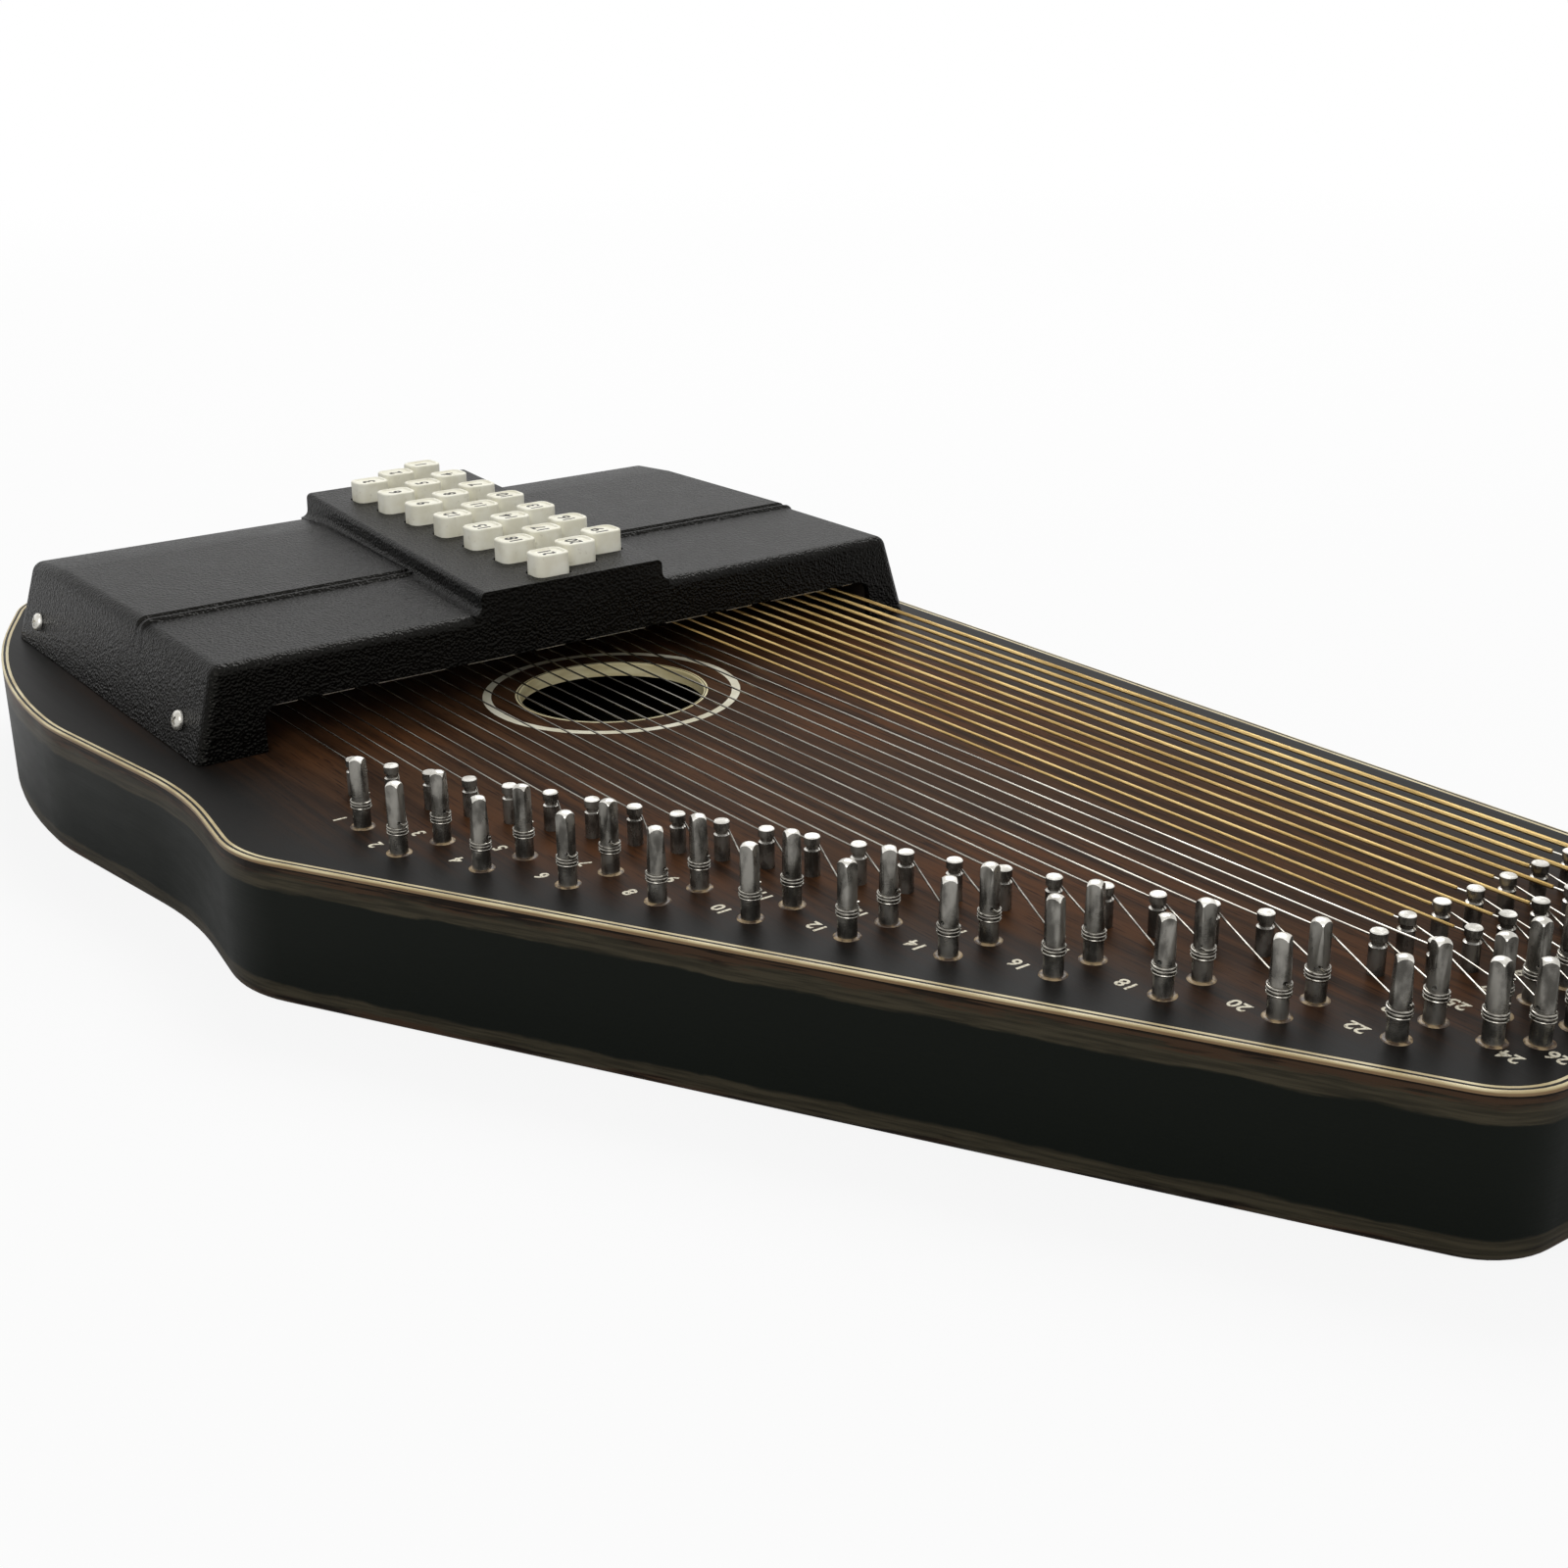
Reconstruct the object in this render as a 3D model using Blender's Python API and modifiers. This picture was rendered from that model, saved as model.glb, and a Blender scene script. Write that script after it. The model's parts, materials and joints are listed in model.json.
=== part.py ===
"""Autoharp with 21 chord bars, lying on its back.

A shallow zither body carries 36 strings from a tail anchor to a diagonal field of guide and tuning
pins. A moulded cover stands across the strings. Under it 21 felted chord bars slide down in two
slotted holders, each pushed by its own button. +X runs along the strings towards the pins, +Y towards
the bass side, +Z up, and the origin is under the middle of the body. All sizes are in metres.
"""

import math

import bmesh
import bpy
from mathutils import Matrix, Vector

# Body
BODY_DEPTH = 0.042
PLATE = 0.0045
GAP = 0.0003
RAIL_WIDTH = 0.012
TAIL_BLOCK_WIDTH = 0.052
PIN_BLOCK_MARGIN = 0.011
PIN_BLOCK_BEFORE_GUIDES = 0.039

# Outline
TAIL_BASS_RADIUS = 0.040
TAIL_TREBLE_RADIUS = 0.035
TAIL_TREBLE_RISE = 0.0425
LOBE_START = 0.091
LOBE_RADIUS = 0.265
LOBE_END = 0.1585
LOBE_END_RADIUS = 0.110
WAIST_TO_SHOULDER = 0.052
WAIST_DEPTH = 0.0121
WAIST_RADIUS = 0.150
SHOULDER_PAST_GUIDE = 0.0205
SHOULDER_DEPTH = 0.005
SHOULDER_RADIUS = 0.040
EDGE_SPLAY = 0.0158
PIN_TREBLE_RADIUS = 0.022
PIN_BASS_RADIUS = 0.025
ARC_STEP = math.radians(12)
SMALL_ARC_STEP = math.radians(45)
MOUTH_ARC_STEP = math.radians(22.5)
FLAT_ANGLE = math.radians(0.5)
SHARP_ANGLE = math.radians(35)
SAME_PLACE = 1e-6
STEP_SLACK = 1e-3

# Trim
BINDING_WIDTH = 0.0024
BINDING_DEPTH = 0.0012
HOLE_FROM_TAIL = 0.2376
HOLE_FROM_TREBLE = 0.160
HOLE_RADIUS = 0.0302
HOLE_BINDING = 0.0014
ROSETTE_RADIUS = 0.0422
ROSETTE_WIDTH = 0.0028
ROSETTE_DEPTH = 0.001
ROUND_SIDES = 24

# Strings and pins
STRINGS = 36
STRING_SPACING = 0.00635
FIRST_STRING_FROM_TREBLE = 0.0518
LAST_STRING_FROM_BASS = 0.02795
STRING_HEIGHT = 0.008
STRING_SIDES = 4
PLAIN_STRING_RADIUS = 0.00025
WOUND_STRING_RADIUS = 0.0005
FIRST_WOUND = 25
PIN_STEP = 0.0115
FIRST_GUIDE_FROM_TAIL = 0.273
GUIDE_RADIUS = 0.00215
GUIDE_HEIGHT = 0.011
GUIDE_GROOVE = 0.0008
GUIDE_GROOVE_HALF = 0.001
GUIDE_SIDES = 6
TUNING_RADIUS = 0.0025
TUNING_HEIGHT = 0.0205
TUNING_SHOULDER = 0.0174
TUNING_TIP = 0.0016
TUNING_SIDES = 8
PIN_BURIED = 0.012
INNER_PIN_AHEAD = 0.0238
INNER_PIN_ASIDE = 0.0091
OUTER_PIN_AHEAD = 0.0357
OUTER_PIN_ASIDE = 0.0159
LAST_DIAGONAL = 24
LAST_DIAGONAL_FROM_END = 0.0475
END_GUIDE_INNER = 0.061
END_GUIDE_OUTER = 0.0471
END_PIN_INNER = 0.0285
END_PIN_OUTER = 0.0148
END_PIN_ASIDE = 0.008
END_OUTER_ASIDE = 0.018
CORNER_PIN_FROM_END = 0.0213
CORNER_PIN_ASIDE = 0.0132

# Tail anchor and bridge
ANCHOR_FROM_TAIL = 0.0165
ANCHOR_WIDTH = 0.010
ANCHOR_HEIGHT = 0.011
ANCHOR_MARGIN = 0.006
ANCHOR_NOSE = 0.003
BRIDGE_FROM_TAIL = 0.0365
BRIDGE_WIDTH = 0.005
BRIDGE_RIDGE = 0.00125

# Chord cover
COVER_FROM_TAIL = 0.053
COVER_PAST_TREBLE_STRING = 0.0283
COVER_PAST_BASS_STRING = 0.02045
COVER_HEIGHT = 0.0302
COVER_REAR_DROP = 0.003
COVER_CREASE = 0.0295
COVER_STEP = 0.1135
COVER_STEP_DROP = 0.0008
COVER_SIDE_DRAFT = 0.0085
COVER_REAR_DRAFT = 0.003
COVER_FRONT_DRAFT = 0.0015
COVER_WALL = 0.0025
COVER_ROUND = 0.003
COVER_ROUND_ABOVE = math.radians(40)
COVER_ROUND_STEPS = 2
MOUTH_HEIGHT = 0.0145
MOUTH_FOOT_TREBLE = 0.0225
MOUTH_FOOT_BASS = 0.0165
MOUTH_RADIUS = 0.005
MOUTH_FOOT_RADIUS = 0.0025
PANEL_RISE = 0.0063
PANEL_FROM_COVER_END = 0.0983
PANEL_PAST_BUTTONS = 0.009
PANEL_SKEW = 0.0152
PANEL_ROUND = 0.0015
PANEL_ABOVE_MOUTH = 0.0006

# Chord bars and buttons
BARS = 21
BAR_PITCH = 0.0074
FIRST_BAR_FROM_REAR = 0.0125
LAST_BAR_FROM_FRONT = 0.0110
BAR_WIDTH = 0.0056
BAR_BOTTOM = 0.0149
BAR_TOP = 0.0235
BAR_TRAVEL = 0.0025
BAR_END_CLEARANCE = 0.0009
FELT_MARGIN = 0.0033
STEM_HEADROOM = 0.0008
BUTTON_LENGTH = 0.0125
BUTTON_WIDTH = 0.010
BUTTON_CORNER = 0.003
BUTTON_RISE = 0.0071
BUTTON_EDGE = 0.0007
BUTTON_CLEARANCE = 0.0005
BUTTON_ROWS = 3
BUTTON_ROW_SPACING = 0.0146
BUTTON_ROW_FROM_PANEL = 0.0303

# Bar holders and cover screws
HOLDER_TOP_TREBLE = 0.0101
HOLDER_TOP_BASS = 0.0066
HOLDER_END = 0.0005
SCREW_HEIGHT = 0.0095
SCREW_FROM_COVER_END = (0.0200, 0.1527)
SCREW_SHANK = 0.0016
SCREW_HEAD = 0.0032
SCREW_HEAD_HEIGHT = 0.0018
SCREW_CROWN = 0.0019
SCREW_LENGTH = 0.009
SCREW_SIDES = 12

# Sizes worked out from those above
BODY_LENGTH = FIRST_GUIDE_FROM_TAIL + PIN_STEP * (LAST_DIAGONAL - 1) + LAST_DIAGONAL_FROM_END
BODY_WIDTH = FIRST_STRING_FROM_TREBLE + STRING_SPACING * (STRINGS - 1) + LAST_STRING_FROM_BASS
DIAGONAL_SLOPE = STRING_SPACING / PIN_STEP + EDGE_SPLAY
SHOULDER_FROM_TAIL = FIRST_GUIDE_FROM_TAIL + SHOULDER_PAST_GUIDE
PANEL_HEIGHT = COVER_HEIGHT + PANEL_RISE
BUTTON_TOP = PANEL_HEIGHT + BUTTON_RISE
COVER_LENGTH = FIRST_BAR_FROM_REAR + BAR_PITCH * (BARS - 1) + LAST_BAR_FROM_FRONT
PANEL_WIDTH = BUTTON_ROW_FROM_PANEL + BUTTON_ROW_SPACING * (BUTTON_ROWS - 1) + PANEL_PAST_BUTTONS

# Places worked out from the sizes above
TAIL = -BODY_LENGTH / 2
PIN_END = BODY_LENGTH / 2
TREBLE = -BODY_WIDTH / 2
BASS = BODY_WIDTH / 2
TOP = BODY_DEPTH
STRING_LEVEL = TOP + STRING_HEIGHT
COVER_REAR = TAIL + COVER_FROM_TAIL
COVER_FRONT = COVER_REAR + COVER_LENGTH
COVER_TREBLE = TREBLE + FIRST_STRING_FROM_TREBLE - COVER_PAST_TREBLE_STRING
COVER_BASS = BASS - LAST_STRING_FROM_BASS + COVER_PAST_BASS_STRING
PANEL_TREBLE = COVER_TREBLE + PANEL_FROM_COVER_END
MOUTH_TREBLE = COVER_TREBLE + MOUTH_FOOT_TREBLE
MOUTH_BASS = COVER_BASS - MOUTH_FOOT_BASS
SIDE_LEAN = COVER_SIDE_DRAFT / COVER_HEIGHT
PANEL_ROOT = TOP + MOUTH_HEIGHT + PANEL_ABOVE_MOUTH
LAST_BAR = COVER_FRONT - LAST_BAR_FROM_FRONT
FELT_BOTTOM = STRING_HEIGHT + WOUND_STRING_RADIUS + GAP + BAR_TRAVEL
SLOT_BOTTOM = BAR_BOTTOM - BAR_TRAVEL - GAP
CAP_BOTTOM = BAR_TOP + BAR_TRAVEL + STEM_HEADROOM
HOLE = Vector((TAIL + HOLE_FROM_TAIL, TREBLE + HOLE_FROM_TREBLE))

ALONG = {
    "X": Matrix(((0, 0, 1, 0), (1, 0, 0, 0), (0, 1, 0, 0), (0, 0, 0, 1))),
    "Y": Matrix(((1, 0, 0, 0), (0, 0, -1, 0), (0, 1, 0, 0), (0, 0, 0, 1))),
    "Z": Matrix.Identity(4),
}


# Scene and collections
def clear_scene():
    for obj in list(bpy.data.objects):
        bpy.data.objects.remove(obj)


def new_collection(name):
    collection = bpy.data.collections.new(name)
    bpy.context.scene.collection.children.link(collection)
    return collection


def new_material(name, colour, roughness, metallic=0.0):
    material = bpy.data.materials.new(name)
    material.use_nodes = True
    shader = material.node_tree.nodes["Principled BSDF"]
    shader.inputs["Base Color"].default_value = (*colour, 1)
    shader.inputs["Roughness"].default_value = roughness
    shader.inputs["Metallic"].default_value = metallic
    return material


def add_object(name, mesh, collection, material=None):
    obj = bpy.data.objects.new(name, mesh)
    collection.objects.link(obj)
    if material:
        mesh.materials.clear()
        mesh.materials.append(material)
    else:
        obj.hide_render = True
        obj.display_type = "WIRE"
    return obj


# Outlines
def rounded(corners, arc_step=ARC_STEP):
    """Points of a closed outline whose corners (x, y, radius) are rounded by tangent arcs.

    Where two arcs don't fit on the side between them, both get a smaller radius that does.
    """
    count = len(corners)
    spots = [Vector(corner[:2]) for corner in corners]
    backs = [(spots[i - 1] - spots[i]).normalized() for i in range(count)]
    aheads = [(spots[(i + 1) % count] - spots[i]).normalized() for i in range(count)]
    halves = [backs[i].angle(aheads[i]) / 2 for i in range(count)]
    reaches = [corners[i][2] / math.tan(halves[i]) for i in range(count)]
    rooms = [((spots[(i + 1) % count] - spots[i]).length - GAP) / (reaches[i] + reaches[(i + 1) % count])
             for i in range(count)]
    points = []
    for index in range(count):
        corner, back, ahead, half = spots[index], backs[index], aheads[index], halves[index]
        reach = reaches[index] * min(1, rooms[index - 1], rooms[index])
        radius = reach * math.tan(half)
        centre = corner + (back + ahead).normalized() * radius / math.sin(half)
        first = corner + back * reach - centre
        last = corner + ahead * reach - centre
        start = math.atan2(first.y, first.x)
        sweep = math.atan2(last.y, last.x) - start
        sweep = (sweep + math.pi) % (2 * math.pi) - math.pi
        steps = max(1, math.ceil(abs(sweep) / arc_step - STEP_SLACK))
        for step in range(steps + 1):
            angle = start + sweep * step / steps
            points.append(centre + radius * Vector((math.cos(angle), math.sin(angle))))
    return points


def inset(points, distance):
    """The same closed outline, drawn inwards by a distance."""
    moved = []
    for index, point in enumerate(points):
        before = (point - points[index - 1]).normalized()
        after = (points[(index + 1) % len(points)] - point).normalized()
        tangent = (before + after).normalized()
        inward = Vector((-tangent.y, tangent.x))
        moved.append(point + inward * distance / tangent.dot(after))
    return moved


def clipped(run, start, end):
    """A run of points in rising x, cut off at x = start and x = end."""
    ends = []
    for x in (start, end):
        after = next(index for index, point in enumerate(run) if point.x > x)
        before, beyond = run[after - 1], run[after]
        ends.append(before.lerp(beyond, (x - before.x) / (beyond.x - before.x)))
    return [ends[0], *(point for point in run if start < point.x < end), ends[1]]


def circle(centre, radius, sides):
    turns = [2 * math.pi * side / sides for side in range(sides)]
    return [Vector(centre) + radius * Vector((math.cos(a), math.sin(a))) for a in turns]


def rectangle(x0, x1, y0, y1):
    return [Vector((x0, y0)), Vector((x1, y0)), Vector((x1, y1)), Vector((x0, y1))]


def rounded_rectangle(x0, x1, y0, y1, radius):
    corners = [(x0, y0, radius), (x1, y0, radius), (x1, y1, radius), (x0, y1, radius)]
    return rounded(corners, SMALL_ARC_STEP)


def diagonal_y(x):
    """The straight pin edge of the body, carried on past its corners."""
    return TREBLE + SHOULDER_DEPTH + DIAGONAL_SLOPE * (x - TAIL - SHOULDER_FROM_TAIL)


def body_outline():
    return rounded([
        (TAIL, BASS, TAIL_BASS_RADIUS),
        (TAIL, TREBLE + TAIL_TREBLE_RISE, TAIL_TREBLE_RADIUS),
        (TAIL + LOBE_START, TREBLE, LOBE_RADIUS),
        (TAIL + LOBE_END, TREBLE, LOBE_END_RADIUS),
        (TAIL + SHOULDER_FROM_TAIL - WAIST_TO_SHOULDER, TREBLE + WAIST_DEPTH, WAIST_RADIUS),
        (TAIL + SHOULDER_FROM_TAIL, TREBLE + SHOULDER_DEPTH, SHOULDER_RADIUS),
        (PIN_END, diagonal_y(PIN_END), PIN_TREBLE_RADIUS),
        (PIN_END, BASS, PIN_BASS_RADIUS),
    ])


# Solids
def tidy_mesh(mesh):
    """Joins points that coincide, joins faces that lie in one plane and turns the faces outwards."""
    bm = bmesh.new()
    bm.from_mesh(mesh)
    bmesh.ops.remove_doubles(bm, verts=bm.verts, dist=SAME_PLACE)
    bmesh.ops.dissolve_limit(bm, angle_limit=FLAT_ANGLE, verts=[], edges=bm.edges)
    bmesh.ops.recalc_face_normals(bm, faces=bm.faces)
    bm.to_mesh(mesh)
    bm.free()


def prism(name, outlines, low, high, collection, material=None, along="Z"):
    """Flat outlines thickened from low to high along an axis. An outline inside another is a hole."""
    curve = bpy.data.curves.new(name + "_outline", "CURVE")
    curve.dimensions = "2D"
    curve.fill_mode = "BOTH"
    curve.extrude = (high - low) / 2
    for outline in outlines:
        spline = curve.splines.new("POLY")
        spline.points.add(len(outline) - 1)
        for point, place in zip(spline.points, outline):
            point.co = (place.x, place.y, 0, 1)
        spline.use_cyclic_u = True
    drawn = bpy.data.objects.new(name + "_outline", curve)
    bpy.context.scene.collection.objects.link(drawn)
    bpy.context.view_layer.update()
    graph = bpy.context.evaluated_depsgraph_get()
    mesh = bpy.data.meshes.new_from_object(drawn.evaluated_get(graph))
    bpy.data.objects.remove(drawn)
    if along == "Y":
        low, high = -high, -low
    mesh.transform(ALONG[along] @ Matrix.Translation((0, 0, (low + high) / 2)))
    tidy_mesh(mesh)
    return add_object(name, mesh, collection, material)


def turned(name, profile, sides, places, collection, material=None):
    """The same turned profile of (radius, height) points, standing at each place."""
    bm = bmesh.new()
    for place in places:
        corners = [bm.verts.new(place + Vector((radius, 0, height))) for radius, height in profile]
        edges = [bm.edges.new(pair) for pair in zip(corners, corners[1:])]
        bmesh.ops.spin(bm, geom=corners + edges, cent=place, axis=(0, 0, 1), angle=2 * math.pi,
                       steps=sides, use_merge=True)
    bmesh.ops.remove_doubles(bm, verts=bm.verts, dist=SAME_PLACE)
    bmesh.ops.recalc_face_normals(bm, faces=bm.faces)
    mesh = bpy.data.meshes.new(name)
    bm.to_mesh(mesh)
    bm.free()
    return add_object(name, mesh, collection, material)


def combine(target, other, operation):
    modifier = target.modifiers.new(other.name, "BOOLEAN")
    modifier.operation = operation
    modifier.object = other


def shade_round(obj):
    obj.data.shade_smooth()
    obj.data.set_sharp_from_angle(angle=SHARP_ANGLE)


# Places of the strings and pins
def string_y(number):
    return TREBLE + FIRST_STRING_FROM_TREBLE + STRING_SPACING * (number - 1)


def diagonal_guide_x(number):
    return TAIL + FIRST_GUIDE_FROM_TAIL + PIN_STEP * (number - 1)


def guide_place(number):
    if number <= LAST_DIAGONAL:
        x = diagonal_guide_x(number)
    else:
        x = PIN_END - (END_GUIDE_INNER if number % 2 else END_GUIDE_OUTER)
    return Vector((x, string_y(number), TOP))


def tuning_place(number):
    inner = number % 2 == 1
    if number < LAST_DIAGONAL:
        x = diagonal_guide_x(number) + (INNER_PIN_AHEAD if inner else OUTER_PIN_AHEAD)
        aside = INNER_PIN_ASIDE if inner else OUTER_PIN_ASIDE
    elif number == LAST_DIAGONAL:
        x = PIN_END - CORNER_PIN_FROM_END
        aside = CORNER_PIN_ASIDE
    else:
        x = PIN_END - (END_PIN_INNER if inner else END_PIN_OUTER)
        aside = END_PIN_ASIDE if inner else END_OUTER_ASIDE
    return Vector((x, string_y(number) - aside, TOP))


def string_radius(number):
    return PLAIN_STRING_RADIUS if number < FIRST_WOUND else WOUND_STRING_RADIUS


def numbers():
    return range(1, STRINGS + 1)


# Body
def make_plates(parts, cutters, materials):
    outline = body_outline()
    holes = [circle(HOLE, HOLE_RADIUS + HOLE_BINDING + GAP, ROUND_SIDES)]
    holes += [circle(guide_place(n).xy, GUIDE_RADIUS + GAP, GUIDE_SIDES) for n in numbers()]
    holes += [circle(tuning_place(n).xy, TUNING_RADIUS + GAP, TUNING_SIDES) for n in numbers()]
    top = prism("soundboard", [outline, *holes], TOP - PLATE, TOP, parts, materials["sunburst"])
    floor = TOP - BINDING_DEPTH - GAP
    rebate = [inset(outline, -PLATE), inset(outline, BINDING_WIDTH + GAP)]
    combine(top, prism("binding_rebate", rebate, floor, TOP + PLATE, cutters), "DIFFERENCE")
    floor = TOP - ROSETTE_DEPTH - GAP
    groove = [circle(HOLE, ROSETTE_RADIUS + GAP, ROUND_SIDES),
              circle(HOLE, ROSETTE_RADIUS - ROSETTE_WIDTH - GAP, ROUND_SIDES)]
    combine(top, prism("rosette_groove", groove, floor, TOP + PLATE, cutters), "DIFFERENCE")
    prism("back_panel", [outline], 0, PLATE, parts, materials["edge_wood"])


def make_trim(parts, materials):
    outline = body_outline()
    prism("edge_binding", [outline, inset(outline, BINDING_WIDTH)], TOP - BINDING_DEPTH, TOP,
          parts, materials["cream"])
    prism("soundhole_binding", [circle(HOLE, HOLE_RADIUS + HOLE_BINDING, ROUND_SIDES),
                                circle(HOLE, HOLE_RADIUS, ROUND_SIDES)],
          TOP - PLATE, TOP, parts, materials["cream"])
    prism("rosette_ring", [circle(HOLE, ROSETTE_RADIUS, ROUND_SIDES),
                           circle(HOLE, ROSETTE_RADIUS - ROSETTE_WIDTH, ROUND_SIDES)],
          TOP - ROSETTE_DEPTH, TOP, parts, materials["cream"])


def pin_block_region(grow):
    """The field under the pins: a strip along the diagonal edge, and the narrow end."""
    first = guide_place(1)
    margin = (PIN_BLOCK_MARGIN + grow) * math.hypot(1, DIAGONAL_SLOPE)
    strip = first.y - diagonal_y(first.x) + margin
    far = PIN_END + BODY_WIDTH
    end = PIN_END - END_GUIDE_INNER - PIN_BLOCK_MARGIN - grow
    start = first.x - PIN_BLOCK_BEFORE_GUIDES - grow
    return [
        Vector((start, TREBLE - BODY_WIDTH)),
        Vector((far, TREBLE - BODY_WIDTH)),
        Vector((far, BASS + BODY_WIDTH)),
        Vector((end, BASS + BODY_WIDTH)),
        Vector((end, diagonal_y(end) + strip)),
        Vector((start, diagonal_y(start) + strip)),
    ]


def make_frame(parts, cutters, materials):
    low = PLATE + GAP
    high = TOP - PLATE - GAP
    outline = body_outline()
    block_edge = TAIL + TAIL_BLOCK_WIDTH
    far = BODY_LENGTH

    tail = prism("tail_block", [outline], low, high, parts, materials["black_wood"])
    beyond = rectangle(block_edge, far, -far, far)
    combine(tail, prism("tail_block_end", [beyond], low - PLATE, high + PLATE, cutters), "DIFFERENCE")

    pins = prism("pin_block", [outline], low, high, parts, materials["black_wood"])
    field = pin_block_region(0)
    combine(pins, prism("pin_block_field", [field], low - PLATE, high + PLATE, cutters), "INTERSECT")

    first_gap = block_edge + GAP
    edges = []
    for line in (outline, inset(outline, RAIL_WIDTH)):
        treble_side = sorted((point for point in line if point.y < 0), key=lambda point: point.x)
        edges.append(clipped(treble_side, first_gap, field[0].x - GAP))
    treble_band = [*edges[0], *reversed(edges[1])]
    prism("treble_rail", [treble_band], low, high, parts, materials["black_wood"])
    bass_band = rectangle(first_gap, field[3].x - GAP, BASS - RAIL_WIDTH, BASS)
    prism("bass_rail", [bass_band], low, high, parts, materials["black_wood"])
    return pins


def make_pins(pin_block, cutters):
    buried = -PLATE - PIN_BURIED
    waist = GUIDE_RADIUS - GUIDE_GROOVE
    guide = [(0, buried), (GUIDE_RADIUS, buried),
             (GUIDE_RADIUS, STRING_HEIGHT - GUIDE_GROOVE_HALF), (waist, STRING_HEIGHT),
             (GUIDE_RADIUS, STRING_HEIGHT + GUIDE_GROOVE_HALF),
             (GUIDE_RADIUS, GUIDE_HEIGHT), (0, GUIDE_HEIGHT)]
    tuning = [(0, buried), (TUNING_RADIUS, buried), (TUNING_RADIUS, TUNING_SHOULDER),
              (TUNING_TIP, TUNING_HEIGHT), (0, TUNING_HEIGHT)]
    guides = turned("guide_pins", guide, GUIDE_SIDES, [guide_place(n) for n in numbers()], cutters)
    tuners = turned("tuning_pins", tuning, TUNING_SIDES, [tuning_place(n) for n in numbers()], cutters)
    combine(pin_block, guides, "UNION")
    combine(pin_block, tuners, "UNION")


# Strings
def make_anchor(parts, materials):
    rear = TAIL + ANCHOR_FROM_TAIL
    low = string_y(1) - ANCHOR_MARGIN
    high = string_y(STRINGS) + ANCHOR_MARGIN
    top = TOP + ANCHOR_HEIGHT
    profile = [Vector((rear, TOP + GAP)), Vector((rear + ANCHOR_WIDTH, TOP + GAP)),
               Vector((rear + ANCHOR_WIDTH, top)), Vector((rear + ANCHOR_NOSE, top)),
               Vector((rear, top - ANCHOR_NOSE))]
    prism("string_anchor", [profile], low, high, parts, materials["steel"], along="Y")


def make_strings(parts, cutters, materials):
    """The strings start at the anchor, bear on the bridge and end short of their guide pins."""
    rear = TAIL + BRIDGE_FROM_TAIL
    front = rear + BRIDGE_WIDTH
    low = string_y(1) - ANCHOR_MARGIN
    high = string_y(STRINGS) + ANCHOR_MARGIN
    shoulder = STRING_LEVEL - BRIDGE_RIDGE
    profile = [Vector((rear, TOP + GAP)), Vector((front, TOP + GAP)), Vector((front, shoulder)),
               Vector(((rear + front) / 2, STRING_LEVEL)), Vector((rear, shoulder))]
    strings = prism("strings", [profile], low, high, parts, materials["steel"], along="Y")
    bm = bmesh.new()
    start = TAIL + ANCHOR_FROM_TAIL + ANCHOR_WIDTH + GAP
    for number in numbers():
        radius = string_radius(number)
        length = guide_place(number).x - GUIDE_RADIUS - GAP - start
        middle = Vector((start + length / 2, string_y(number), STRING_LEVEL))
        place = Matrix.Translation(middle) @ Matrix.Rotation(math.pi / 2, 4, "Y")
        bmesh.ops.create_cone(bm, cap_ends=True, segments=STRING_SIDES, radius1=radius, radius2=radius,
                              depth=length, matrix=place)
    wires = bpy.data.meshes.new("wires")
    bm.to_mesh(wires)
    bm.free()
    combine(strings, add_object("wires", wires, cutters), "UNION")


# Chord cover
def cover_profile(wall):
    """The cover seen from its end, as (x, height) points, thinned by a wall."""
    rear_top = COVER_REAR + COVER_REAR_DRAFT + wall
    front_top = COVER_FRONT - COVER_FRONT_DRAFT - wall
    step = COVER_REAR + COVER_STEP
    front_height = TOP + COVER_HEIGHT - COVER_STEP_DROP - wall
    below = TOP - PLATE
    return [
        Vector((COVER_REAR + wall, below)),
        Vector((COVER_FRONT - wall, below)),
        Vector((front_top, front_height)),
        Vector((step + COVER_STEP_DROP, front_height)),
        Vector((step, TOP + COVER_HEIGHT - wall)),
        Vector((COVER_REAR + COVER_CREASE, TOP + COVER_HEIGHT - COVER_STEP_DROP - wall)),
        Vector((rear_top, TOP + COVER_HEIGHT - COVER_REAR_DROP - wall)),
    ]


def cover_blank(name, wall, collection, material=None):
    """The profile drawn across the strings, with its two end faces leaning in."""
    blank = prism(name, [cover_profile(wall)], COVER_TREBLE + wall, COVER_BASS - wall, collection,
                  material, along="Y")
    middle = (COVER_TREBLE + COVER_BASS) / 2
    for vertex in blank.data.vertices:
        lean = (vertex.co.z - TOP) * SIDE_LEAN
        vertex.co.y += lean if vertex.co.y < middle else -lean
    return blank


def panel_outline(wall):
    """The raised button panel seen from above. Its sides run askew to the strings."""
    front = COVER_FRONT - COVER_FRONT_DRAFT - wall
    rear = COVER_REAR + COVER_REAR_DRAFT + wall
    low = PANEL_TREBLE + wall
    high = PANEL_TREBLE + PANEL_WIDTH - wall
    return [Vector((rear, low + PANEL_SKEW)), Vector((front, low)), Vector((front, high)),
            Vector((rear, high + PANEL_SKEW))]


def bar_x(number):
    return LAST_BAR - BAR_PITCH * (BARS - number)


def button_place(number):
    """Every third button shares a row, and the rows step towards the bass side."""
    row = (BARS - number) % BUTTON_ROWS
    y = PANEL_TREBLE + BUTTON_ROW_FROM_PANEL + row * BUTTON_ROW_SPACING
    return Vector((bar_x(number), y, TOP))


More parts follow.
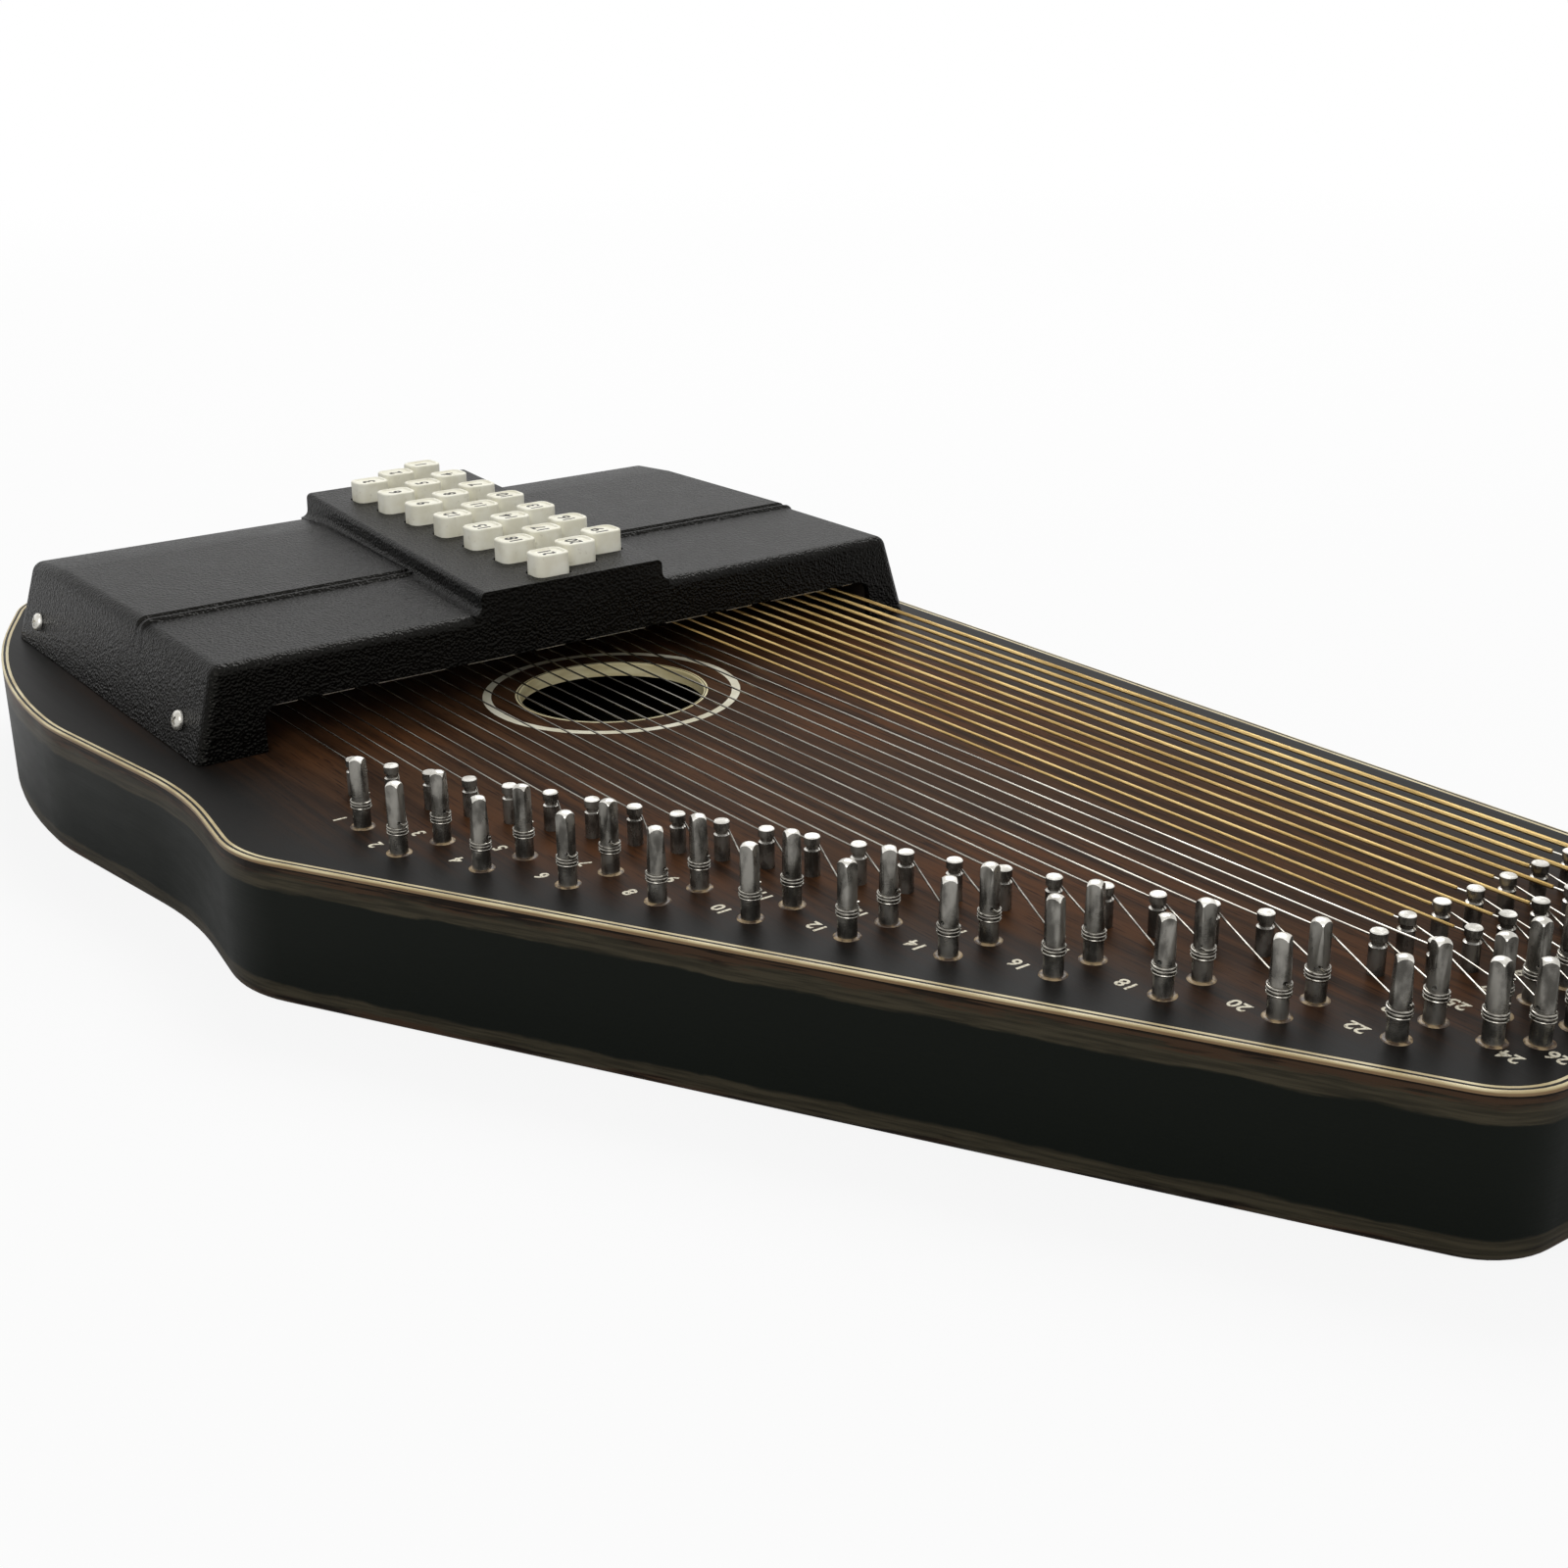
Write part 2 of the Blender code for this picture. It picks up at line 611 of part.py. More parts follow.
def button_outline(centre, clearance):
    half_width = BUTTON_WIDTH / 2 + clearance
    half_length = BUTTON_LENGTH / 2 + clearance
    return rounded_rectangle(centre.x - half_width, centre.x + half_width, centre.y - half_length,
                             centre.y + half_length, BUTTON_CORNER)


def make_cover(parts, cutters, materials):
    cover = cover_blank("chord_cover", 0, parts, materials["cover"])
    bevel = cover.modifiers.new("rounded_edges", "BEVEL")
    bevel.width = COVER_ROUND
    bevel.segments = COVER_ROUND_STEPS
    bevel.limit_method = "ANGLE"
    bevel.angle_limit = COVER_ROUND_ABOVE
    panel = prism("raised_panel", [panel_outline(0)], PANEL_ROOT, TOP + PANEL_HEIGHT, cutters)
    rounding = panel.modifiers.new("rounded_edges", "BEVEL")
    rounding.width = PANEL_ROUND
    rounding.segments = COVER_ROUND_STEPS
    combine(cover, panel, "UNION")
    combine(cover, cover_blank("cover_inside", COVER_WALL, cutters), "DIFFERENCE")
    hollow = prism("panel_inside", [panel_outline(COVER_WALL)], PANEL_ROOT,
                   TOP + PANEL_HEIGHT - COVER_WALL, cutters)
    combine(cover, hollow, "DIFFERENCE")
    under = rectangle(TAIL, PIN_END, TREBLE, BASS)
    combine(cover, prism("cover_seat", [under], TOP - 2 * PLATE, TOP + GAP, cutters), "DIFFERENCE")
    mouth = rounded([(MOUTH_TREBLE, TOP - 2 * PLATE, MOUTH_FOOT_RADIUS),
                     (MOUTH_BASS, TOP - 2 * PLATE, MOUTH_FOOT_RADIUS),
                     (MOUTH_BASS, TOP + MOUTH_HEIGHT, MOUTH_RADIUS),
                     (MOUTH_TREBLE, TOP + MOUTH_HEIGHT, MOUTH_RADIUS)], MOUTH_ARC_STEP)
    way = prism("cover_mouth", [mouth], COVER_REAR - PLATE, COVER_FRONT + PLATE, cutters, along="X")
    combine(cover, way, "DIFFERENCE")
    outlines = [button_outline(button_place(n), BUTTON_CLEARANCE) for n in range(1, BARS + 1)]
    holes = prism("button_holes", outlines, PANEL_ROOT, TOP + 2 * PANEL_HEIGHT, cutters)
    combine(cover, holes, "DIFFERENCE")
    return cover


# Bar holders
def make_holders(parts, cutters, materials):
    """Two slotted blocks under the ends of the cover, which the bars slide down in."""
    low = COVER_REAR + COVER_REAR_DRAFT + COVER_WALL + HOLDER_END
    high = COVER_FRONT - COVER_FRONT_DRAFT - COVER_WALL - HOLDER_END
    foot = COVER_WALL + GAP
    lean = SIDE_LEAN * BAR_TOP
    slots = [rectangle(bar_x(n) - BAR_WIDTH / 2 - GAP, bar_x(n) + BAR_WIDTH / 2 + GAP, TREBLE, BASS)
             for n in range(1, BARS + 1)]
    cutter = prism("bar_slots", slots, TOP + SLOT_BOTTOM, TOP + 2 * BAR_TOP, cutters)
    holders = []
    for name, edge, side, top_width in (("treble_bar_holder", COVER_TREBLE, 1, HOLDER_TOP_TREBLE),
                                        ("bass_bar_holder", COVER_BASS, -1, HOLDER_TOP_BASS)):
        outer = edge + side * foot
        crown = outer + side * lean
        face = crown + side * top_width
        profile = [Vector((outer, TOP + GAP)), Vector((face, TOP + GAP)),
                   Vector((face, TOP + BAR_TOP)), Vector((crown, TOP + BAR_TOP))]
        holder = prism(name, [profile], low, high, parts, materials["holder"], along="X")
        combine(holder, cutter, "DIFFERENCE")
        holders.append(holder)
    return holders


def screw_frame(x, edge, side):
    """The place of a cover screw, whose axis stands square to the leaning end face."""
    y = edge + side * SCREW_HEIGHT * SIDE_LEAN
    tilt = side * (math.pi / 2 - math.atan(SIDE_LEAN))
    return Matrix.Translation((x, y, TOP + SCREW_HEIGHT)) @ Matrix.Rotation(tilt, 4, "X")


def make_screws(parts, cutters, cover, holders, materials):
    head = [(0, -SCREW_LENGTH), (SCREW_SHANK, -SCREW_LENGTH), (SCREW_SHANK, GAP), (SCREW_HEAD, GAP),
            (SCREW_HEAD, GAP + SCREW_HEAD_HEIGHT / 2),
            (SCREW_CROWN, GAP + SCREW_HEAD_HEIGHT), (0, GAP + SCREW_HEAD_HEIGHT)]
    room = SCREW_SHANK + GAP
    bore = [(0, -SCREW_LENGTH - GAP), (room, -SCREW_LENGTH - GAP), (room, SCREW_LENGTH), (0, SCREW_LENGTH)]
    number = 0
    for edge, side, holder in ((COVER_TREBLE, 1, holders[0]), (COVER_BASS, -1, holders[1])):
        for along in SCREW_FROM_COVER_END:
            number += 1
            frame = screw_frame(COVER_REAR + along, edge, side)
            name = f"cover_screw_{number}"
            screw = turned(name, head, SCREW_SIDES, [Vector()], parts, materials["steel"])
            screw.matrix_world = frame
            shade_round(screw)
            cutter = turned(name + "_bore", bore, SCREW_SIDES, [Vector()], cutters)
            cutter.matrix_world = frame
            combine(cover, cutter, "DIFFERENCE")
            combine(holder, cutter, "DIFFERENCE")


# Chord bars and buttons
def bar_mesh(cutters):
    """A bar seen from the side, with its felt strip hanging below between the holders."""
    end_lean = SIDE_LEAN * BAR_TOP + COVER_WALL + BAR_END_CLEARANCE
    low = COVER_TREBLE + end_lean
    high = COVER_BASS - end_lean
    felt_low = string_y(1) - FELT_MARGIN
    felt_high = string_y(STRINGS) + FELT_MARGIN
    profile = [Vector((low, TOP + BAR_BOTTOM)), Vector((felt_low, TOP + BAR_BOTTOM)),
               Vector((felt_low, TOP + FELT_BOTTOM)), Vector((felt_high, TOP + FELT_BOTTOM)),
               Vector((felt_high, TOP + BAR_BOTTOM)), Vector((high, TOP + BAR_BOTTOM)),
               Vector((high, TOP + BAR_TOP)), Vector((low, TOP + BAR_TOP))]
    blank = prism("bar_blank", [profile], -BAR_WIDTH / 2, BAR_WIDTH / 2, cutters, along="X")
    return blank


def button_mesh(cutters):
    """A cap with its upper edge eased, on a stem as wide as its bar, which passes the next bars."""
    blank = prism("button_blank", [button_outline(Vector((0, 0)), 0)], CAP_BOTTOM, BUTTON_TOP, cutters)
    bm = bmesh.new()
    bm.from_mesh(blank.data)
    bm.faces.ensure_lookup_table()
    top = max(bm.faces, key=lambda face: face.calc_center_median().z)
    bmesh.ops.bevel(bm, geom=list(top.edges), offset=BUTTON_EDGE, segments=1, profile=0.5,
                    affect="EDGES", material=-1)
    bottom = min(bm.faces, key=lambda face: face.calc_center_median().z)
    bmesh.ops.inset_region(bm, faces=[bottom], thickness=(BUTTON_WIDTH - BAR_WIDTH) / 2,
                           use_even_offset=True)
    stem = bmesh.ops.extrude_face_region(bm, geom=[bottom])["geom"]
    bmesh.ops.delete(bm, geom=[bottom], context="FACES_ONLY")
    for vertex in stem:
        if isinstance(vertex, bmesh.types.BMVert):
            vertex.co.z = BAR_TOP + GAP
    bm.to_mesh(blank.data)
    bm.free()
    return blank


def make_bars(parts, cutters, materials):
    bar = bar_mesh(cutters)
    button = button_mesh(cutters)
    for number in range(1, BARS + 1):
        chord_bar = add_object(f"chord_bar_{number:02d}", bar.data, parts, materials["bar"])
        chord_bar.location = (bar_x(number), 0, 0)
        cap = add_object(f"button_{number:02d}", button.data, parts, materials["ivory"])
        cap.location = button_place(number)


def make_materials():
    return {
        "sunburst": new_material("sunburst_lacquer", (0.045, 0.019, 0.014), 0.35),
        "black_wood": new_material("black_lacquer", (0.012, 0.016, 0.016), 0.4),
        "edge_wood": new_material("laminated_edge", (0.06, 0.035, 0.022), 0.5),
        "cream": new_material("cream_binding", (0.74, 0.66, 0.46), 0.45),
        "steel": new_material("bright_steel", (0.6, 0.58, 0.55), 0.25, 1.0),
        "cover": new_material("grained_black_plastic", (0.016, 0.016, 0.017), 0.55),
        "holder": new_material("holder_wood", (0.32, 0.21, 0.11), 0.6),
        "bar": new_material("bar_and_felt", (0.42, 0.4, 0.36), 0.6),
        "ivory": new_material("ivory_plastic", (0.78, 0.75, 0.62), 0.4),
    }


def main():
    clear_scene()
    parts = new_collection("autoharp")
    cutters = new_collection("autoharp_cutters")
    materials = make_materials()
    make_plates(parts, cutters, materials)
    make_trim(parts, materials)
    pin_block = make_frame(parts, cutters, materials)
    make_pins(pin_block, cutters)
    make_anchor(parts, materials)
    make_strings(parts, cutters, materials)
    cover = make_cover(parts, cutters, materials)
    holders = make_holders(parts, cutters, materials)
    make_screws(parts, cutters, cover, holders, materials)
    make_bars(parts, cutters, materials)


main()
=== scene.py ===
# %% [markdown]
# # An autoharp, dressed for its portrait
# The frame of this part comes packed: a shallow zither body, a moulded cover over 21 felted chord
# bars, and a slanting field of steel pins. This lesson gives those solids their looks. Each step
# says what the piece is on the real instrument, how it could be made in Blender, and why it is
# made the way it is here. All lengths are in metres, +X runs along the strings towards the tuning
# pins, +Y towards the bass strings, and +Z up.

import json
import math
import random

import bmesh
import bpy
from mathutils import Matrix, Vector
from mathutils.bvhtree import BVHTree

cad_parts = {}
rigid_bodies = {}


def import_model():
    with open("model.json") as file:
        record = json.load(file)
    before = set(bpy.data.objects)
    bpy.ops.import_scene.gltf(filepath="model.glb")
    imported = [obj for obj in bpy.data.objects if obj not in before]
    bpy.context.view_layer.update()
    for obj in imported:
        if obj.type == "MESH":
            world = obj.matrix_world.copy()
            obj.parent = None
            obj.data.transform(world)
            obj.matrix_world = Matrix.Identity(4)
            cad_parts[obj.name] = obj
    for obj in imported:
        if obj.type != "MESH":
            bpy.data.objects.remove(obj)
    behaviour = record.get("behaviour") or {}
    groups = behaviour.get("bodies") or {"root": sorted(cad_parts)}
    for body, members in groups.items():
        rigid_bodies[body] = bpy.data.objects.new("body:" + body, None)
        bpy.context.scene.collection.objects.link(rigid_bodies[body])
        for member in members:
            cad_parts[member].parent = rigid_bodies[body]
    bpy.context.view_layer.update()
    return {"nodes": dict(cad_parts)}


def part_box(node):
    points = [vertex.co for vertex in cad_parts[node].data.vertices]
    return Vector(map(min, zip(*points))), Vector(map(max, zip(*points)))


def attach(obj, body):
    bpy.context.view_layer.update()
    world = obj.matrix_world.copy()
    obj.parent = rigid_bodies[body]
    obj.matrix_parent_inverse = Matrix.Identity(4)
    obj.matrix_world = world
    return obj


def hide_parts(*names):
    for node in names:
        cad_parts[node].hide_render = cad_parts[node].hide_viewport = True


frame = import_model()
nodes = frame["nodes"]

# %% [markdown]
# ## Shader maths in plain Python
# A finish such as wood grain is a small sum: stretch some noise, sharpen it, use it to mix two
# colours. Adding the nodes one by one hides that sum. The class below wraps an output socket, so
# that + - and * on it add Math nodes, and a finish can be read as an expression.

# %% A socket that takes part in sums
class Wire:
    """An output socket. Python's operators on it add Math nodes to its material."""

    def __init__(self, finish, socket):
        self.finish = finish
        self.socket = socket

    def sum(self, operation, first, second):
        return self.finish.add("ShaderNodeMath", {"operation": operation}, {0: first, 1: second})

    def __add__(self, other):
        return self.sum("ADD", self, other)

    def __sub__(self, other):
        return self.sum("SUBTRACT", self, other)

    def __mul__(self, other):
        return self.sum("MULTIPLY", self, other)

    def __rsub__(self, other):
        return self.sum("SUBTRACT", other, self)

    __radd__ = __add__

    def sine(self):
        return self.sum("SINE", self, 0.0)

    def most(self, other):
        return self.sum("MAXIMUM", self, other)

    def ease(self, low, high):
        """0 below low, 1 above high, and a smooth rise between them."""
        return self.finish.add("ShaderNodeMapRange", {"interpolation_type": "SMOOTHSTEP"},
                               {"Value": self, "From Min": low, "From Max": high})


# %% A material that is written as expressions
class Finish:
    """A material with a Principled shader, whose other nodes all come from add()."""

    def __init__(self, name, **sockets):
        self.material = bpy.data.materials.new(name)
        self.material.use_nodes = True
        self.tree = self.material.node_tree
        self.shader = self.tree.nodes["Principled BSDF"]
        self.paint(**sockets)

    def add(self, kind, settings=None, inputs=None, out=0):
        """A node with its settings made first, then its sockets filled or linked."""
        node = self.tree.nodes.new(kind)
        for name, value in (settings or {}).items():
            setattr(node, name, value)
        for name, value in (inputs or {}).items():
            self.feed(node.inputs[name], value)
        return Wire(self, node.outputs[out])

    def feed(self, socket, value):
        if isinstance(value, Wire):
            self.tree.links.new(value.socket, socket)
        elif socket.type == "RGBA":
            socket.default_value = (*value, 1)
        else:
            socket.default_value = value

    def paint(self, **sockets):
        """Values or wires for the shader's own sockets."""
        by_name = {socket.name.lower().replace(" ", "_"): socket for socket in self.shader.inputs}
        for name, value in sockets.items():
            self.feed(by_name[name], value)
        return self

    def place(self, *scale):
        """Object coordinates in metres, stretched by a scale."""
        coordinates = self.add("ShaderNodeTexCoord", out="Object")
        return self.add("ShaderNodeMapping", None, {"Vector": coordinates, "Scale": scale})

    def along(self, axis):
        """One object coordinate in metres."""
        coordinates = self.add("ShaderNodeTexCoord", out="Object")
        return self.add("ShaderNodeSeparateXYZ", None, {"Vector": coordinates}, out=axis)

    def noise(self, *scale, detail=4.0, roughness=0.5):
        """Noise with so many features to a metre along X, Y and Z, from about 0.3 to 0.7."""
        return self.add("ShaderNodeTexNoise", None, {"Vector": self.place(*scale), "Scale": 1.0,
                                                     "Detail": detail, "Roughness": roughness})

    def cells(self, *scale):
        """Rounded cells: 0 in their middles, rising towards their borders."""
        return self.add("ShaderNodeTexVoronoi", {"feature": "SMOOTH_F1"},
                        {"Vector": self.place(*scale), "Scale": 1.0, "Smoothness": 0.6})

    def stored(self, name):
        """A number kept at each corner of the mesh."""
        return self.add("ShaderNodeAttribute", {"attribute_name": name}, out="Fac")

    def mix(self, share, first, second):
        """A colour between two colours."""
        inputs = {0: share, 6: first, 7: second}
        return self.add("ShaderNodeMix", {"data_type": "RGBA"}, inputs, out=2)

    def bump(self, height, distance):
        """Small relief in the shading, from a height and its full depth in metres."""
        relief = self.add("ShaderNodeBump", None, {"Height": height, "Distance": distance})
        return self.paint(normal=relief)

# %% [markdown]
# ## The place of the camera
# The photograph was taken from beyond the treble corner of the pin end, looking down a little.
# The angles below come from lining the pins and the cover up with it. They are set first, so that
# every later step can be judged against the photograph.

# %% Camera
VIEW_AZIMUTH = math.radians(144.31)
VIEW_FALL = math.radians(20.89)
VIEW_ROLL = math.radians(0.66)
VIEW_FROM = Vector((0.5167, -0.3324, 0.2618))
LENS_MM = 48.78
SENSOR_MM = 36.0

ahead = Vector((math.cos(VIEW_AZIMUTH) * math.cos(VIEW_FALL),
                math.sin(VIEW_AZIMUTH) * math.cos(VIEW_FALL), -math.sin(VIEW_FALL)))
right = ahead.cross(Vector((0, 0, 1))).normalized()
up = right.cross(ahead)
lens = bpy.data.cameras.new("camera")
lens.lens = LENS_MM
lens.sensor_width = SENSOR_MM
camera = bpy.data.objects.new("camera", lens)
bpy.context.scene.collection.objects.link(camera)
turned_right = right * math.cos(VIEW_ROLL) - up * math.sin(VIEW_ROLL)
turned_up = right * math.sin(VIEW_ROLL) + up * math.cos(VIEW_ROLL)
camera.matrix_world = Matrix.Translation(VIEW_FROM) @ Matrix(
    (turned_right, turned_up, -ahead)).transposed().to_4x4()
bpy.context.scene.camera = camera
bpy.context.scene.view_settings.view_transform = "Standard"
print("camera at", tuple(round(x, 3) for x in camera.location))

# %% [markdown]
# ## Floor and studio light
# The instrument lies on white paper under large soft lamps. In a studio such paper shows no
# horizon. Here the floor gives most of its white to the camera by itself, more so further out,
# and keeps a part of the object's shadow. The world is white wherever the camera or a gloss looks
# at it.

# %% Floor, world and lamps
FLOOR_HALF = 4.0
FLOOR_DROP = 0.0002
FLOOR_WHITE_SHARE = 0.87
FLOOR_FADE = (0.4, 2.4)
WORLD_LIGHT = 0.42


def in_scene(name, data):
    obj = bpy.data.objects.new(name, data)
    bpy.context.scene.collection.objects.link(obj)
    return obj


def make_floor():
    bm = bmesh.new()
    bmesh.ops.create_grid(bm, x_segments=1, y_segments=1, size=FLOOR_HALF,
                          matrix=Matrix.Translation((0, 0, -FLOOR_DROP)))
    mesh = bpy.data.meshes.new("floor")
    bm.to_mesh(mesh)
    bm.free()
    paper = Finish("floor_paper", roughness=0.95, specular_ior_level=0.0,
                   base_color=(0.8, 0.8, 0.8))
    spot = paper.add("ShaderNodeTexCoord", out="Object")
    far = paper.add("ShaderNodeVectorMath", {"operation": "LENGTH"}, {0: spot}, out="Value")
    whiter = far.ease(*FLOOR_FADE) * (1 - FLOOR_WHITE_SHARE) + FLOOR_WHITE_SHARE
    seen = paper.add("ShaderNodeLightPath", out="Is Camera Ray") * whiter
    white = paper.add("ShaderNodeEmission", None, {"Color": (1, 1, 1), "Strength": 1.0})
    shaded = Wire(paper, paper.shader.outputs[0])
    both = paper.add("ShaderNodeMixShader", None, {0: seen, 1: shaded, 2: white})
    paper.feed(paper.tree.nodes["Material Output"].inputs["Surface"], both)
    mesh.materials.append(paper.material)
    in_scene("floor", mesh)


def make_lamp(name, place, size, watts):
    light = bpy.data.lights.new(name, "AREA")
    light.shape = "RECTANGLE"
    light.size, light.size_y = size
    light.energy = watts
    lamp = in_scene(name, light)
    lamp.location = place
    lamp.rotation_mode = "QUATERNION"
    lamp.rotation_quaternion = (-Vector(place)).to_track_quat("-Z", "Y")


def make_world():
    world = bpy.data.worlds.new("studio")
    world.use_nodes = True
    tree = world.node_tree
    background = tree.nodes["Background"]
    background.inputs["Color"].default_value = (1, 1, 1, 1)
    rays = tree.nodes.new("ShaderNodeLightPath")
    plain = tree.nodes.new("ShaderNodeMapRange")
    plain.inputs["To Min"].default_value = 1.0
    plain.inputs["To Max"].default_value = WORLD_LIGHT
    tree.links.new(rays.outputs["Is Diffuse Ray"], plain.inputs["Value"])
    tree.links.new(plain.outputs[0], background.inputs["Strength"])
    bpy.context.scene.world = world


make_floor()
make_world()
make_lamp("high_lamp", (-0.9, 0.9, 1.6), (1.2, 1.0), 21)
make_lamp("near_lamp", (1.3, -1.1, 1.3), (1.2, 1.2), 14)
print("lamps:", len(bpy.data.lights))

# %% [markdown]
# ## The sizes that every piece shares
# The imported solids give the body's box. The string spacing, the pin rows, the cover's place and
# the outline's corners are the ones that the solids were drawn with, so a dressed piece falls
# exactly on the solid that it stands for.

# %% Sizes of the body, the strings and the pins
(TAIL, TREBLE, _), (PIN_END, BASS, TOP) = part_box("soundboard")
PLATE = 0.0045
GAP = 0.0003
STRINGS = 36
STRING_SPACING = 0.00635
STRING_RISE = 0.008
FIRST_STRING = TREBLE + 0.0518
PIN_STEP = 0.0115
FIRST_GUIDE = TAIL + 0.273
LAST_DIAGONAL = 24
FIRST_WOUND = 25
PIN_EDGE_SLOPE = STRING_SPACING / PIN_STEP + 0.0158
SHOULDER = TAIL + 0.2935
NUMBERS = range(1, STRINGS + 1)

# The diagonal rows and the rows across the pin end alternate: first the even pins, then the odd.
END_GUIDE_BACK = (0.0471, 0.061)
TUNING_AHEAD = (0.0357, 0.0238)
TUNING_ASIDE = (0.0159, 0.0091)
END_TUNING_BACK = (0.0148, 0.0285)
END_TUNING_ASIDE = (0.018, 0.008)
LAST_DIAGONAL_BACK = 0.0213
LAST_DIAGONAL_ASIDE = 0.0132


def pin_edge(x):
    """The straight edge beside the tuning pins, carried on past its corners."""
    return TREBLE + 0.005 + PIN_EDGE_SLOPE * (x - SHOULDER)


CORNERS = (
    (TAIL, BASS, 0.040),
    (TAIL, TREBLE + 0.0425, 0.035),
    (TAIL + 0.091, TREBLE, 0.265),
    (TAIL + 0.1585, TREBLE, 0.110),
    (SHOULDER - 0.052, TREBLE + 0.0121, 0.150),
    (SHOULDER, TREBLE + 0.005, 0.040),
    (PIN_END, pin_edge(PIN_END), 0.022),
    (PIN_END, BASS, 0.025),
)


def string_y(number):
    return FIRST_STRING + STRING_SPACING * (number - 1)


def guide_spot(number):
    """Where a guide pin stands on the soundboard."""
    if number <= LAST_DIAGONAL:
        x = FIRST_GUIDE + PIN_STEP * (number - 1)
    else:
        x = PIN_END - END_GUIDE_BACK[number % 2]
    return Vector((x, string_y(number), TOP))


def tuning_spot(number):
    """Where a tuning pin stands: ahead of its guide pin and a little to the treble side."""
    odd = number % 2
    if number < LAST_DIAGONAL:
        x, aside = guide_spot(number).x + TUNING_AHEAD[odd], TUNING_ASIDE[odd]
    elif number == LAST_DIAGONAL:
        x, aside = PIN_END - LAST_DIAGONAL_BACK, LAST_DIAGONAL_ASIDE
    else:
        x, aside = PIN_END - END_TUNING_BACK[odd], END_TUNING_ASIDE[odd]
    return Vector((x, string_y(number) - aside, TOP))


print("body: %.1f x %.1f mm" % ((PIN_END - TAIL) * 1000, (BASS - TREBLE) * 1000))

# %% [markdown]
# ## Helpers for making pieces
# Every piece below is a bmesh that becomes one object on the body that carries it. Small things
# that repeat, such as pins, are made once and copied to their places, so that they share one
# form.

# %% From a bmesh to a piece that rides
SHARP = math.radians(35)
STEEP = math.radians(55)
SAME_PLACE = 3e-6
ON_PLANE = 1e-7


def to_mesh(bm, name):
    mesh = bpy.data.meshes.new(name)
    bm.to_mesh(mesh)
    bm.free()
    return mesh


def piece(name, bm, finishes, replaces=(), body="harp"):
    """Makes a piece of a bmesh, turns its faces outwards and lets it ride on a body."""
    bmesh.ops.remove_doubles(bm, verts=bm.verts, dist=SAME_PLACE)
    bmesh.ops.recalc_face_normals(bm, faces=bm.faces)
    mesh = to_mesh(bm, name)
    mesh.shade_smooth()
    mesh.set_sharp_from_angle(angle=SHARP)
    for finish in finishes:
        mesh.materials.append(finish.material)
    obj = in_scene(name, mesh)
    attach(obj, body)
    if replaces:
        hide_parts(*replaces)
    return obj


def whole(bm):
    return bm.verts[:] + bm.edges[:] + bm.faces[:]


def cut_off(bm, place, outward):
    """Cuts away all that lies outward of a plane, and closes the cut."""
    cut = bmesh.ops.bisect_plane(bm, geom=whole(bm), dist=ON_PLANE, plane_co=place,
                                 plane_no=outward, clear_outer=True)["geom_cut"]
    edges = [part for part in cut if isinstance(part, bmesh.types.BMEdge)]
    bmesh.ops.contextual_create(bm, geom=edges)


def pull(bm, face, way):
    """Gives a flat face thickness, as a closed solid."""
    pulled = bmesh.ops.extrude_face_region(bm, geom=[face])["geom"]
    verts = [part for part in pulled if isinstance(part, bmesh.types.BMVert)]
    bmesh.ops.translate(bm, verts=verts, vec=way)


def block(bm, low, high):
    """A box between two corners. Returns its edges, in the same order each run."""
    low, high = Vector(low), Vector(high)
    place = Matrix.Translation((low + high) / 2) @ Matrix.Diagonal((*(high - low), 1))
    verts = set(bmesh.ops.create_cube(bm, size=1, matrix=place)["verts"])
    return [edge for edge in bm.edges if edge.verts[0] in verts]


def bevel(bm, edges, width, segments):
    bmesh.ops.bevel(bm, geom=edges, offset=width, segments=segments, profile=0.5, affect="EDGES",
                    material=-1, clamp_overlap=True)


def drawn(bm, points, closed):
    """A few points joined by edges, ready to be spun."""
    verts = [bm.verts.new(point) for point in points]
    pairs = list(zip(verts, verts[1:] + verts[:1]))
    return verts + [bm.edges.new(pair) for pair in (pairs if closed else pairs[:-1])]


def turned(bm, profile, steps, spot=(0, 0, 0), closed=False):
    """A turned form: (radius, height) points spun about an upright axis at a spot."""
    spot = Vector(spot)
    geom = drawn(bm, [spot + Vector((radius, 0, height)) for radius, height in profile], closed)
    bmesh.ops.spin(bm, geom=geom, cent=spot, axis=(0, 0, 1), angle=2 * math.pi, steps=steps,
                   use_merge=True)


def scatter(bm, mesh, places):
    """Adds a copy of a mesh at each place, given as a matrix."""
    for place in places:
        copy = mesh.copy()
        copy.transform(place)
        bm.from_mesh(copy)
        bpy.data.meshes.remove(copy)


def combine(bm, tool, operation="DIFFERENCE"):
    """A Boolean of two bmeshes, which are used up by it. Returns the result."""
    for solid in (bm, tool):
        bmesh.ops.recalc_face_normals(solid, faces=solid.faces)
    target = in_scene("target", to_mesh(bm, "target"))
    cutter = in_scene("cutter", to_mesh(tool, "cutter"))
    modifier = target.modifiers.new("combine", "BOOLEAN")
    modifier.operation = operation
    modifier.object = cutter
    bpy.context.view_layer.update()
    result = bmesh.new()
    result.from_object(target, bpy.context.evaluated_depsgraph_get())
    for obj in (target, cutter):
        mesh = obj.data
        bpy.data.objects.remove(obj)
        bpy.data.meshes.remove(mesh)
    return result


def shape_of(name, data):
    """The mesh of a text or a curve."""
    obj = in_scene(name, data)
    bpy.context.view_layer.update()
    mesh = bpy.data.meshes.new_from_object(obj.evaluated_get(bpy.context.evaluated_depsgraph_get()))
    bpy.data.objects.remove(obj)
    return mesh


BOLDER = 0.00012
INK_RISE = 0.00003


